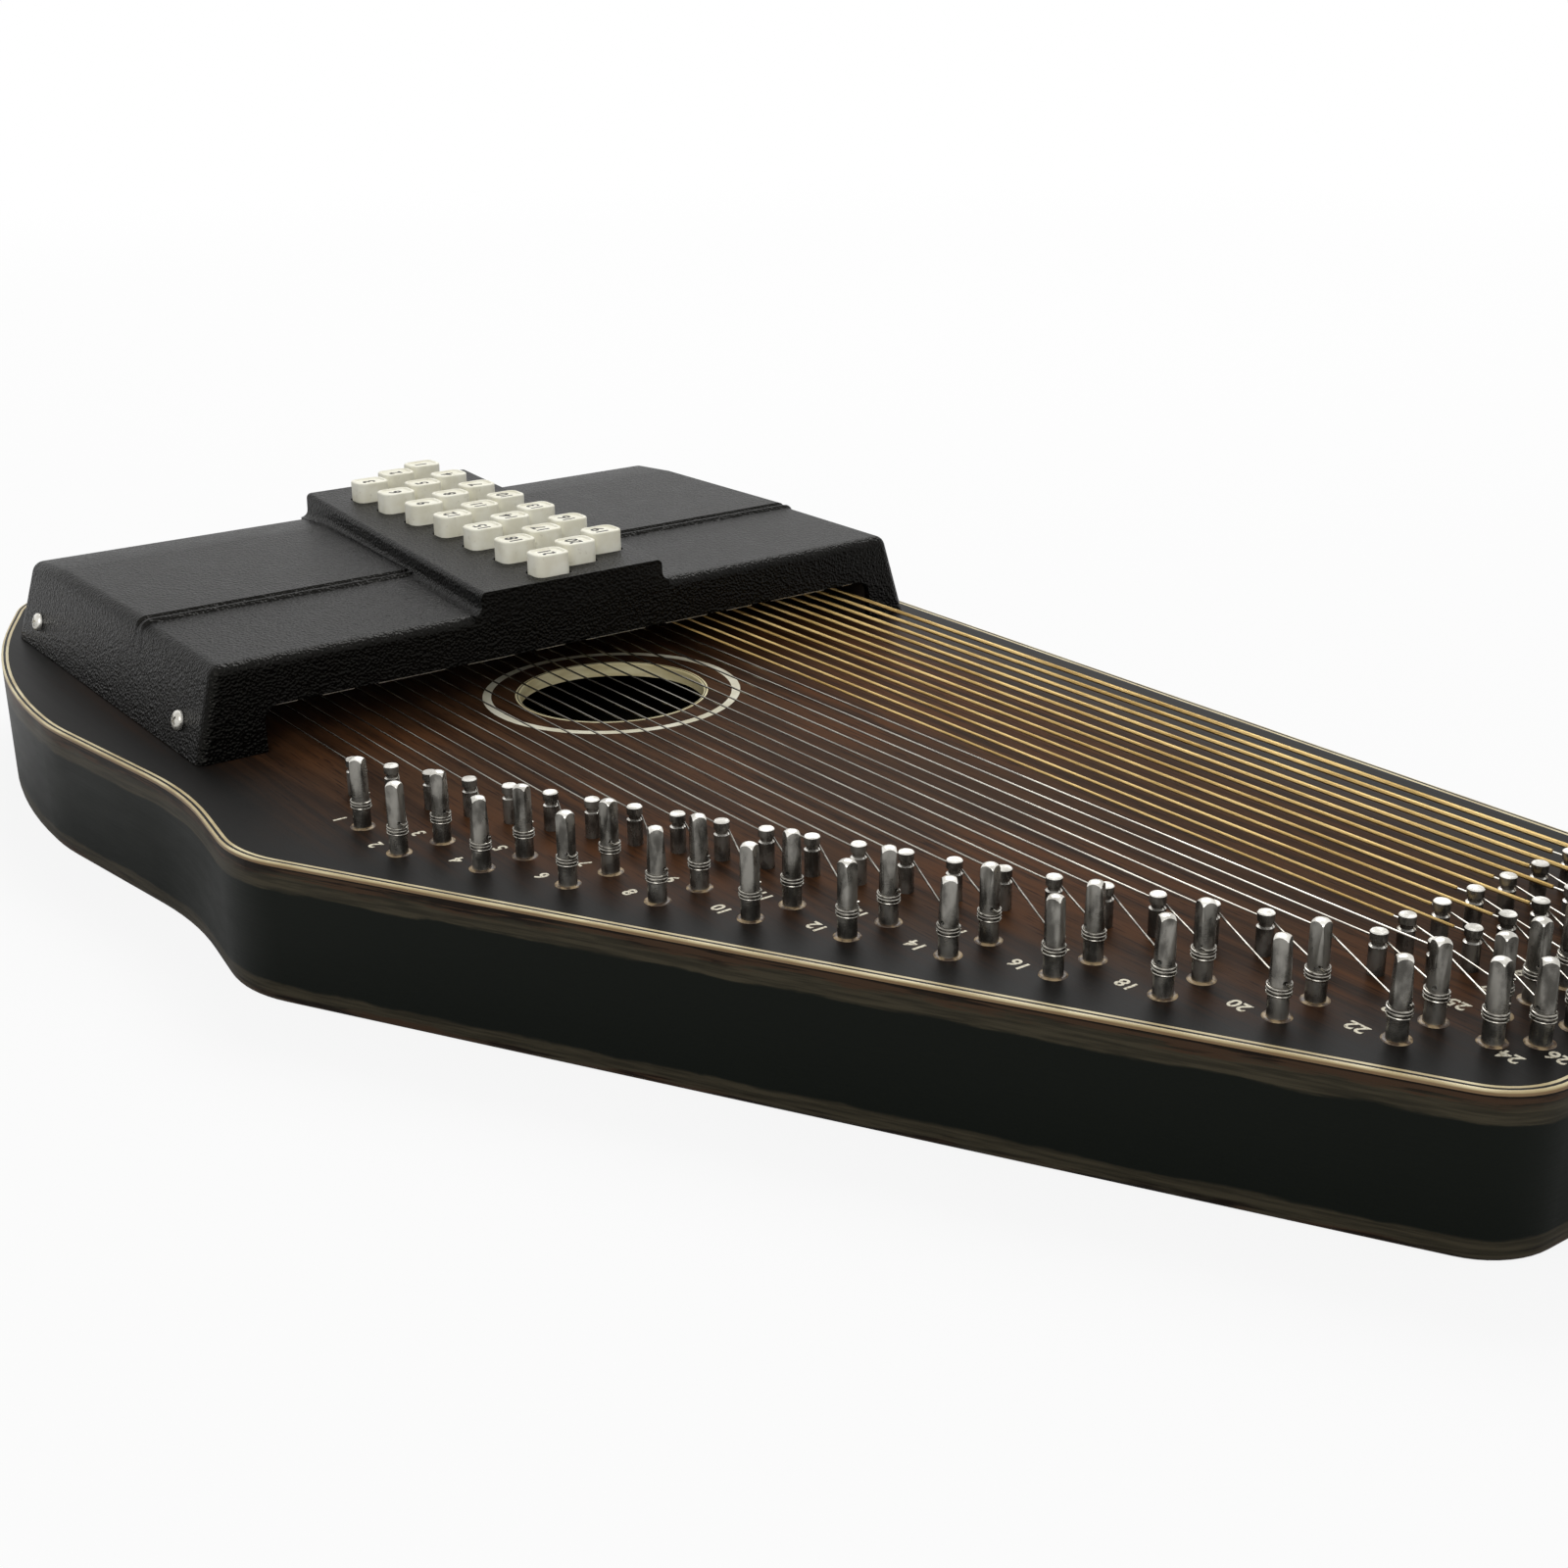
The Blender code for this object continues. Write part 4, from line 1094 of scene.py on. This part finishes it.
def amber_finish():
    finish = Finish("amber_lacquer", specular_ior_level=0.5)
    mottle = finish.noise(420, 420, 420, detail=3.0)
    amber = finish.mix(mottle.ease(0.40, 0.62), (0.060, 0.034, 0.017), (0.36, 0.26, 0.14))
    finish.paint(base_color=amber, roughness=0.25 + mottle * 0.35)
    finish.bump(mottle, 0.0001)
    return finish


def lacquer_rings():
    bm = bmesh.new()
    for number in NUMBERS:
        turned(bm, RING_PROFILE, 24, tuning_spot(number), True)
    return piece("lacquer_rings", bm, [amber_finish()])


lacquer_rings()
print("lacquer rings:", STRINGS)

# %% [markdown]
# ## Numbers beside the pins
# Small printed marks beside the tuning pins say which string each one tunes. Here they are plain
# numbers, turned to be read from the bass side, where the player's eyes are. Text made into a
# mesh keeps its edges sharp at any distance.

# %% Printed numbers
MARK_SIZE = 0.0056
MARK_BEHIND = -0.0088
MARK_AHEAD = 0.0066
MARK_ASIDE = -0.0026
MARK_LIFT = 0.00003


def print_finish(name, thin, full):
    finish = Finish(name, roughness=0.55, specular_ior_level=0.2)
    rubbed = finish.noise(1400, 1400, 1400, detail=3.0)
    return finish.paint(base_color=finish.mix(rubbed.ease(0.30, 0.52), thin, full))


def string_numbers():
    bm = bmesh.new()
    for number in NUMBERS:
        last_row = number >= LAST_DIAGONAL and number % 2 == 0
        beside = Vector((MARK_AHEAD if last_row else MARK_BEHIND, MARK_ASIDE, MARK_LIFT))
        scatter(bm, figures(number, MARK_SIZE), [Matrix.Translation(tuning_spot(number) + beside)])
    ink = print_finish("cream_print", (0.28, 0.23, 0.15), (0.80, 0.75, 0.60))
    return piece("string_numbers", bm, [ink])


string_numbers()
print("numbers printed:", STRINGS)

# %% [markdown]
# ## The chord cover
# The cover is one thick-walled plastic moulding with a pebbled skin: a low box with leaning ends,
# a crease towards its rear, a double ridge across it, and a raised panel for the buttons that
# runs askew and comes down flush with the front. A box cut by leaning planes gives the faces
# their true angles, and real roundings follow from bevels and from spun arcs in the panel's
# section.

# %% Sizes of the cover
COVER_REAR = TAIL + 0.053
COVER_FRONT = COVER_REAR + 0.1715
COVER_TREBLE = FIRST_STRING - 0.0283
COVER_BASS = string_y(STRINGS) + 0.02045
COVER_TOP = TOP + 0.0302
DECK = COVER_TOP - 0.0008
REAR_DROP = 0.0022
REAR_DRAFT = 0.003
FRONT_DRAFT = 0.0015
END_LEAN = 0.0085 / 0.0302
COVER_WALL = 0.0025
COVER_ROUND = 0.0032
CREASE = COVER_REAR + 0.0295
RIDGE = COVER_REAR + 0.1135
TREBLE_FOOT = 0.0225
BASS_FOOT = 0.0165
MOUTH_TOP = TOP + 0.0145
MOUTH_ROUND = 0.005
PANEL_ROOT = MOUTH_TOP + 0.0006
PANEL_TOP = TOP + 0.0365
PANEL_TREBLE = COVER_TREBLE + 0.0983
PANEL_WIDTH = 0.0685
PANEL_SKEW = 0.0152
PANEL_ROUND = 0.0018
PANEL_FILLET = 0.0026
PANEL_END_ROUND = 0.0012
PANEL_PROUD = 0.00002
BARS = 21
BAR_NUMBERS = range(1, BARS + 1)
FRONT_BAR_BACK = 0.011
BAR_PITCH = 0.0074
BAR_WIDTH = 0.0056
BAR_BOTTOM = TOP + 0.0149
BAR_TOP = TOP + 0.0235
BUTTON_WIDTH = 0.010
BUTTON_LENGTH = 0.0125
BUTTON_CORNER = 0.003
BUTTON_BOTTOM = BAR_TOP + 0.0033
BUTTON_TOP = TOP + 0.0436
BUTTON_ROOM = 0.0005
FIRST_ROW = 0.0303
ROW_STEP = 0.0146


def bar_x(number):
    return COVER_FRONT - FRONT_BAR_BACK - BAR_PITCH * (BARS - number)


def button_spot(number):
    """Every third button shares a row, and the rows step towards the bass side."""
    row = (BARS - number) % 3
    return Vector((bar_x(number), PANEL_TREBLE + FIRST_ROW + ROW_STEP * row, 0))


# %% [markdown]
# ## The cover's skin
# The skin is pebbled: small rounded grains that touch, with lighter grey speckles on the top, and
# black and glossier down the walls. Smoothed Voronoi cells make such grains, and a little noise
# breaks up their evenness.

# %% Pebbled plastic
SKIN_BLACK = (0.0011, 0.0011, 0.0011)
SKIN_TOP_SPECKLE = (0.0072, 0.0070, 0.0066)


def pebble_finish():
    finish = Finish("pebbled_plastic", specular_ior_level=0.11, specular_tint=WARM_SHINE)
    grains = finish.cells(1150, 1150, 1150)
    wrinkles = finish.noise(560, 560, 560, detail=3.0)
    speckles = finish.noise(70, 70, 70, detail=5.0)
    up = finish.along("Z").ease(TOP + 0.024, TOP + 0.030)
    # Lighter grey speckles on the top only; the walls stay black.
    black = finish.mix(speckles.ease(0.45, 0.75) * up, SKIN_BLACK, SKIN_TOP_SPECKLE)
    finish.paint(base_color=black, roughness=0.17 + up * 0.16 + speckles * 0.12)
    finish.bump(grains + wrinkles * 0.7, 0.00034)
    return finish


pebbles = pebble_finish()
print("pebbles:", len(pebbles.tree.nodes), "nodes")

# %% The low box
def cover_box(wall, foot):
    """The cover's outside, or at a wall's depth its inside, down to a foot height."""
    bm = bmesh.new()
    rise = COVER_TOP - TOP
    rear_tip = COVER_REAR + REAR_DRAFT + wall
    front_tip = COVER_FRONT - FRONT_DRAFT - wall
    corners = [(COVER_REAR + wall, TOP - PLATE), (COVER_FRONT - wall, TOP - PLATE),
               (front_tip, DECK - wall), (CREASE, DECK - wall), (rear_tip, DECK - REAR_DROP - wall)]
    low, high = COVER_TREBLE + wall, COVER_BASS - wall
    profile = [bm.verts.new((x, low - rise, z)) for x, z in corners]
    pull(bm, bm.faces.new(profile), (0, high - low + 2 * rise, 0))
    cut_off(bm, (0, low, TOP), (0, -1, END_LEAN))
    cut_off(bm, (0, high, TOP), (0, 1, END_LEAN))
    cut_off(bm, (0, 0, foot), (0, 0, -1))
    return bm


RIDGE_CUTS = ((CREASE, 0), (RIDGE - 0.0064, 0.0011), (RIDGE - 0.0053, -0.0001),
              (RIDGE - 0.0038, 0.0007), (RIDGE - 0.0017, 0.0011), (RIDGE - 0.0006, 0))
LIFT_ABOVE = 0.024
LIFT_OVER = 0.0045


def raise_ridge(bm):
    """Lifts the top between the crease and the double ridge."""
    for x, _ in RIDGE_CUTS:
        bmesh.ops.bisect_plane(bm, geom=whole(bm), plane_co=(x, 0, 0), plane_no=(1, 0, 0))
    for vert in bm.verts:
        share = min(1, max(0, (vert.co.z - TOP - LIFT_ABOVE) / LIFT_OVER))
        for x, lift in RIDGE_CUTS:
            if abs(vert.co.x - x) < 1e-5:
                vert.co.z += lift * share


def outer_box():
    bm = cover_box(0, TOP + GAP)
    edges = [edge for edge in bm.edges if edge.calc_face_angle(0) > STEEP
             and max(vert.co.z for vert in edge.verts) > TOP + PLATE]
    bevel(bm, edges, COVER_ROUND, 5)
    raise_ridge(bm)
    return bm


# %% The raised panel
def panel_solid():
    """The panel's section, hollow rounded at its foot and full at its top, drawn out."""
    bm = bmesh.new()
    x = COVER_FRONT + 0.001
    low, high = PANEL_TREBLE, PANEL_TREBLE + PANEL_WIDTH
    arcs = ((low - PANEL_FILLET, DECK, low - PANEL_FILLET, DECK + PANEL_FILLET, 1),
            (low, PANEL_TOP - PANEL_ROUND, low + PANEL_ROUND, PANEL_TOP - PANEL_ROUND, -1),
            (high - PANEL_ROUND, PANEL_TOP, high - PANEL_ROUND, PANEL_TOP - PANEL_ROUND, -1),
            (high, DECK + PANEL_FILLET, high + PANEL_FILLET, DECK + PANEL_FILLET, 1))
    last = bm.verts.new((x, low - PANEL_FILLET, PANEL_ROOT))
    begin = last
    for y, z, middle_y, middle_z, way in arcs:
        vert = bm.verts.new((x, y, z))
        bm.edges.new((last, vert))
        last = bmesh.ops.spin(bm, geom=[vert], cent=(x, middle_y, middle_z), axis=(1, 0, 0),
                              angle=way * math.pi / 2, steps=5)["geom_last"][0]
    foot = bm.verts.new((x, high + PANEL_FILLET, PANEL_ROOT))
    bm.edges.new((last, foot))
    bm.edges.new((foot, begin))
    section = bmesh.ops.contextual_create(bm, geom=bm.edges[:])["faces"][0]
    pull(bm, section, (COVER_REAR - COVER_FRONT - 0.002, PANEL_SKEW, 0))
    bmesh.ops.bisect_plane(bm, geom=whole(bm), plane_co=(CREASE, 0, 0), plane_no=(1, 0, 0))
    for vert in bm.verts:
        at_foot = PANEL_ROOT + 0.001 < vert.co.z < DECK + PANEL_FILLET + 1e-5
        if at_foot and vert.co.x < COVER_REAR + 0.001:
            vert.co.z -= REAR_DROP
    rise = COVER_TOP - TOP
    cut_off(bm, (COVER_FRONT + PANEL_PROUD, 0, TOP), (1, 0, FRONT_DRAFT / rise))
    cut_off(bm, (COVER_REAR - PANEL_PROUD, 0, TOP), (-1, 0, REAR_DRAFT / rise))
    ends = [edge for edge in bm.edges if edge.calc_face_angle(0) > STEEP
            and max(vert.co.z for vert in edge.verts) > DECK - 0.001
            and any(abs(face.normal.x) > 0.8 for face in edge.link_faces)]
    bevel(bm, ends, PANEL_END_ROUND, 3)
    return bm


def panel_inside():
    bm = bmesh.new()
    front = COVER_FRONT - FRONT_DRAFT - COVER_WALL
    rear = COVER_REAR + REAR_DRAFT + COVER_WALL
    low, high = PANEL_TREBLE + COVER_WALL, PANEL_TREBLE + PANEL_WIDTH - COVER_WALL
    corners = ((rear, low + PANEL_SKEW), (front, low), (front, high), (rear, high + PANEL_SKEW))
    face = bm.faces.new([bm.verts.new((x, y, PANEL_ROOT)) for x, y in corners])
    pull(bm, face, (0, 0, PANEL_TOP - COVER_WALL - PANEL_ROOT))
    return bm


def mouth():
    """The way for the strings through the cover's front and rear walls."""
    bm = bmesh.new()
    edges = block(bm, (COVER_REAR - PLATE, COVER_TREBLE + TREBLE_FOOT, TOP - PLATE),
                  (COVER_FRONT + PLATE, COVER_BASS - BASS_FOOT, MOUTH_TOP))
    upper = [edge for edge in edges if all(vert.co.z > TOP for vert in edge.verts)
             and abs(edge.verts[0].co.x - edge.verts[1].co.x) > PLATE]
    bevel(bm, upper, MOUTH_ROUND, 5)
    return bm


def rounded_prism(width, length, corner, low, high):
    bm = bmesh.new()
    edges = block(bm, (-width / 2, -length / 2, low), (width / 2, length / 2, high))
    upright = [edge for edge in edges if abs(edge.verts[0].co.z - edge.verts[1].co.z) > 1e-4]
    bevel(bm, upright, corner, 5)
    return bm


def button_holes():
    bm = bmesh.new()
    hole = to_mesh(rounded_prism(BUTTON_WIDTH + 2 * BUTTON_ROOM, BUTTON_LENGTH + 2 * BUTTON_ROOM,
                                 BUTTON_CORNER, PANEL_ROOT, PANEL_TOP + PLATE), "hole")
    scatter(bm, hole, [Matrix.Translation(button_spot(number)) for number in BAR_NUMBERS])
    return bm


# %% Put the cover together
def screw_place(x, edge, side):
    """A cover screw's place, square to the leaning end of the cover."""
    y = edge + side * SCREW_RISE * END_LEAN
    tilt = side * (math.pi / 2 - math.atan(END_LEAN))
    return Matrix.Translation((x, y, TOP + SCREW_RISE)) @ Matrix.Rotation(tilt, 4, "X")


SCREW_RISE = 0.0095
SCREW_PLACES = [screw_place(COVER_REAR + x, edge, side)
                for edge, side in ((COVER_TREBLE, 1), (COVER_BASS, -1)) for x in (0.0200, 0.1527)]


def chord_cover():
    bm = combine(outer_box(), panel_solid(), "UNION")
    print("cover joined:", len(bm.faces), "faces")
    for tool in (cover_box(COVER_WALL, TOP - PLATE), panel_inside(), mouth(), button_holes()):
        bm = combine(bm, tool)
        print("cover cut:", len(bm.faces), "faces")
    cover = piece("moulded_cover", bm, [pebbles], ["chord_cover"])
    level = cover.modifiers.new("even_shade", "WEIGHTED_NORMAL")
    level.keep_sharp = True
    return cover


chord_cover()

# %% [markdown]
# ## Buttons
# Each button is an ivory cap with eased corners, a raised rim and a sunk face that carries its
# mark. The marks are plain numbers here. A narrow stem joins the cap to its bar, as wide as the
# bar, so that it passes the bars beside it. Every button rides on its own bar's body.

# %% Ivory plastic
def ivory_finish():
    finish = Finish("ivory_plastic", specular_ior_level=0.35)
    aged = finish.noise(160, 160, 160, detail=3.0)
    grime = finish.noise(520, 520, 520, detail=3.0)
    ivory = finish.mix(aged.ease(0.36, 0.66), (0.84, 0.81, 0.66), (0.93, 0.91, 0.78))
    ivory = finish.mix(grime.ease(0.60, 0.80) * 0.35, ivory, (0.34, 0.29, 0.19))
    return finish.paint(base_color=ivory, roughness=0.30 + aged * 0.2)


# %% Caps, stems and numbers
RIM_WIDTH = 0.0011
RECESS = 0.0005
BRIM_ROUND = 0.0006
BUTTON_MARK = 0.0066
STEM_BOTTOM = BAR_TOP + GAP


def button_cap():
    bm = rounded_prism(BUTTON_WIDTH, BUTTON_LENGTH, BUTTON_CORNER, BUTTON_BOTTOM, BUTTON_TOP)
    top = max(bm.faces, key=lambda face: face.calc_center_median().z)
    bottom = min(bm.faces, key=lambda face: face.calc_center_median().z)
    brim = list(top.edges)
    bmesh.ops.inset_region(bm, faces=[bottom], thickness=(BUTTON_WIDTH - BAR_WIDTH) / 2,
                           use_even_offset=True)
    stem = bmesh.ops.extrude_face_region(bm, geom=[bottom])["geom"]
    bmesh.ops.delete(bm, geom=[bottom], context="FACES_ONLY")
    for vert in stem:
        if isinstance(vert, bmesh.types.BMVert):
            vert.co.z = STEM_BOTTOM
    bmesh.ops.inset_region(bm, faces=[top], thickness=RIM_WIDTH, use_even_offset=True)
    bmesh.ops.inset_region(bm, faces=[top], thickness=RECESS, depth=-RECESS, use_even_offset=True)
    bevel(bm, brim, BRIM_ROUND, 3)
    return to_mesh(bm, "button_cap")


def buttons():
    cap = button_cap()
    ivory = ivory_finish()
    ink = print_finish("dark_print", (0.10, 0.09, 0.08), (0.014, 0.013, 0.013))
    for number in BAR_NUMBERS:
        bm = bmesh.new()
        spot = button_spot(number)
        on_face = Vector((0, 0, BUTTON_TOP - RECESS + MARK_LIFT))
        scatter(bm, figures(number, BUTTON_MARK), [Matrix.Translation(spot + on_face)])
        for face in bm.faces:
            face.material_index = 1
        scatter(bm, cap, [Matrix.Translation(spot)])
        piece(f"chord_button_{number:02d}", bm, [ivory, ink],
              [f"button_{number:02d}"], f"bar_{number:02d}")


buttons()
print("buttons:", BARS)

# %% [markdown]
# ## Chord bars
# A chord bar damps every string that doesn't belong to its chord: felt pads hang below it, with
# gaps over the strings that are left to ring. Which strings those are follows from music: each
# bar has a root, twelve string names repeat along the harp, and a chord is its root, third, fifth
# and at times seventh.

# %% Bars and felt
FELT_BOTTOM = TOP + 0.0113
FELT_WIDTH = 0.0048
FELT_PAST_STRING = 0.0023
FELT_ROUND = 0.0005
BAR_ROUND = 0.0004
BAR_END_INSET = 0.0235 * END_LEAN + COVER_WALL + 0.0009
CHORD_STEPS = ((0, 4, 7), (0, 3, 7), (0, 4, 7, 10))


def felt_runs(number):
    """Runs of neighbouring strings that a bar damps, as first and last string."""
    root, steps = 7 * number % 12, CHORD_STEPS[number % 3]
    runs = []
    for string in NUMBERS:
        if (string + 4 - root) % 12 in steps:
            continue
        if runs and runs[-1][1] == string - 1:
            runs[-1][1] = string
        else:
            runs.append([string, string])
    return runs


def bar_finish():
    finish = Finish("bar_metal", metallic=0.9)
    brushed = finish.noise(900, 12, 900, detail=3.0)
    grey = finish.mix(brushed.ease(0.35, 0.65), (0.30, 0.30, 0.30), (0.46, 0.46, 0.45))
    return finish.paint(base_color=grey, roughness=0.34 + brushed * 0.2)


def felt_finish():
    finish = Finish("felt", roughness=0.95, specular_ior_level=0.1)
    fibres = finish.noise(1500, 1500, 1500, detail=5.0)
    wool = finish.mix(fibres.ease(0.35, 0.65), (0.56, 0.53, 0.45), (0.82, 0.79, 0.70))
    finish.paint(base_color=wool)
    finish.bump(fibres, 0.0004)
    return finish


def chord_bars():
    metal, felt = bar_finish(), felt_finish()
    pads = 0
    for number in BAR_NUMBERS:
        bm = bmesh.new()
        x = bar_x(number)
        edges = block(bm, (x - BAR_WIDTH / 2, COVER_TREBLE + BAR_END_INSET, BAR_BOTTOM),
                      (x + BAR_WIDTH / 2, COVER_BASS - BAR_END_INSET, BAR_TOP))
        bevel(bm, edges, BAR_ROUND, 2)
        for first, last in felt_runs(number):
            known = set(bm.faces)
            edges = block(bm, (x - FELT_WIDTH / 2, string_y(first) - FELT_PAST_STRING, FELT_BOTTOM),
                          (x + FELT_WIDTH / 2, string_y(last) + FELT_PAST_STRING, BAR_BOTTOM + GAP))
            lower = [edge for edge in edges if all(vert.co.z < BAR_BOTTOM for vert in edge.verts)]
            bevel(bm, lower, FELT_ROUND, 2)
            for face in set(bm.faces) - known:
                face.material_index = 1
            pads += 1
        piece(f"felted_bar_{number:02d}", bm, [metal, felt],
              [f"chord_bar_{number:02d}"], f"bar_{number:02d}")
    return pads


print("felt pads:", chord_bars())

# %% [markdown]
# ## Screws, bridge and the strings' tail end
# Four round-headed cross screws hold the cover's feet. At the tail the strings hang by small
# balls in the slots of a rail and run over a steel rod on a wooden bridge. The photograph hides
# the tail end, so it follows what such harps have.

# %% Cross-head screws
SCREW_PROFILE = [(0, -0.009), (0.0016, -0.009), (0.0016, 0.0002), (0.0032, 0.0002),
                 (0.0032, 0.0009), (0.0029, 0.0015), (0.0022, 0.0019), (0.0012, 0.0021),
                 (0, 0.00215)]
CROSS_HALF = 0.0017
CROSS_WIDTH = 0.00076
CROSS_FLOOR = 0.0010


def screws():
    master = bmesh.new()
    turned(master, SCREW_PROFILE, 32)
    cross = bmesh.new()
    block(cross, (-CROSS_HALF, -CROSS_WIDTH / 2, CROSS_FLOOR), (CROSS_HALF, CROSS_WIDTH / 2, 0.003))
    other = bmesh.new()
    block(other, (-CROSS_WIDTH / 2, -CROSS_HALF, CROSS_FLOOR), (CROSS_WIDTH / 2, CROSS_HALF, 0.003))
    mesh = to_mesh(combine(master, combine(cross, other, "UNION")), "screw")
    for number, place in enumerate(SCREW_PLACES, 1):
        bm = bmesh.new()
        scatter(bm, mesh, [place @ Matrix.Rotation(0.4 * number, 4, "Z")])
        piece(f"cross_screw_{number}", bm, [rubbed_nickel],
              [f"cover_screw_{number}"])


screws()
print("cover screws:", len(SCREW_PLACES))

# %% Hitch rail and bridge
RAIL_X = TAIL + 0.0165
RAIL_WIDTH = 0.010
RAIL_HEIGHT = 0.011
RAIL_END = 0.006
RAIL_ROUND = 0.0012
SLOT_HALF = 0.0006
SLOT_BELOW = 0.0007
BALL = 0.0015
ROD = 0.00125
ROD_ROUND = 0.0003
BRIDGE_ROUND = 0.0005
BRIDGE_HALF = 0.0025
BRIDGE_HEIGHT = 0.006


def tail_end():
    low, high = string_y(1) - RAIL_END, string_y(STRINGS) + RAIL_END
    rail = bmesh.new()
    edges = block(rail, (RAIL_X, low, TOP + GAP), (RAIL_X + RAIL_WIDTH, high, TOP + RAIL_HEIGHT))
    upper = [edge for edge in edges if all(vert.co.z > TOP + 0.001 for vert in edge.verts)]
    bevel(rail, upper, RAIL_ROUND, 3)
    slots = bmesh.new()
    for number in NUMBERS:
        y = string_y(number)
        block(slots, (RAIL_X - 0.001, y - SLOT_HALF, TOP + STRING_RISE - SLOT_BELOW),
              (RAIL_X + RAIL_WIDTH + 0.001, y + SLOT_HALF, TOP + RAIL_HEIGHT + 0.001))
    piece("hitch_rail", combine(rail, slots), [nickel], ["string_anchor"])
    balls = bmesh.new()
    for number in NUMBERS:
        spot = Vector((RAIL_X - BALL * 0.85, string_y(number), TOP + STRING_RISE))
        place = Matrix.Translation(spot) @ Matrix.Rotation(math.pi / 2, 4, "Y")
        bmesh.ops.create_uvsphere(balls, u_segments=14, v_segments=9, radius=BALL, matrix=place)
    piece("ball_ends", balls, [winding], ["strings"])
    base = bmesh.new()
    edges = block(base, (BRIDGE_X - BRIDGE_HALF, low, TOP + GAP),
                  (BRIDGE_X + BRIDGE_HALF, high, TOP + BRIDGE_HEIGHT))
    bevel(base, edges, BRIDGE_ROUND, 2)
    piece("bridge_base", base, [holder_wood], ["strings"])
    rod = bmesh.new()
    middle = Vector((BRIDGE_X, (low + high) / 2, TOP + STRING_RISE - CORE_RADIUS - ROD))
    place = Matrix.Translation(middle) @ Matrix.Rotation(math.pi / 2, 4, "X")
    bmesh.ops.create_cone(rod, cap_ends=True, segments=20, radius1=ROD, radius2=ROD,
                          depth=high - low, matrix=place)
    bevel(rod, [edge for edge in rod.edges if edge.calc_face_angle(0) > 1], ROD_ROUND, 2)
    piece("bridge_rod", rod, [nickel], ["strings"])


tail_end()
print("tail end: rail, balls, bridge and rod")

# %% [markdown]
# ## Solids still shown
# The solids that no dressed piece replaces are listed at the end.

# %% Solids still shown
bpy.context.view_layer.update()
shown = [name for name, node in nodes.items() if not node.hide_render]
print("nodes still shown:", sorted(shown))
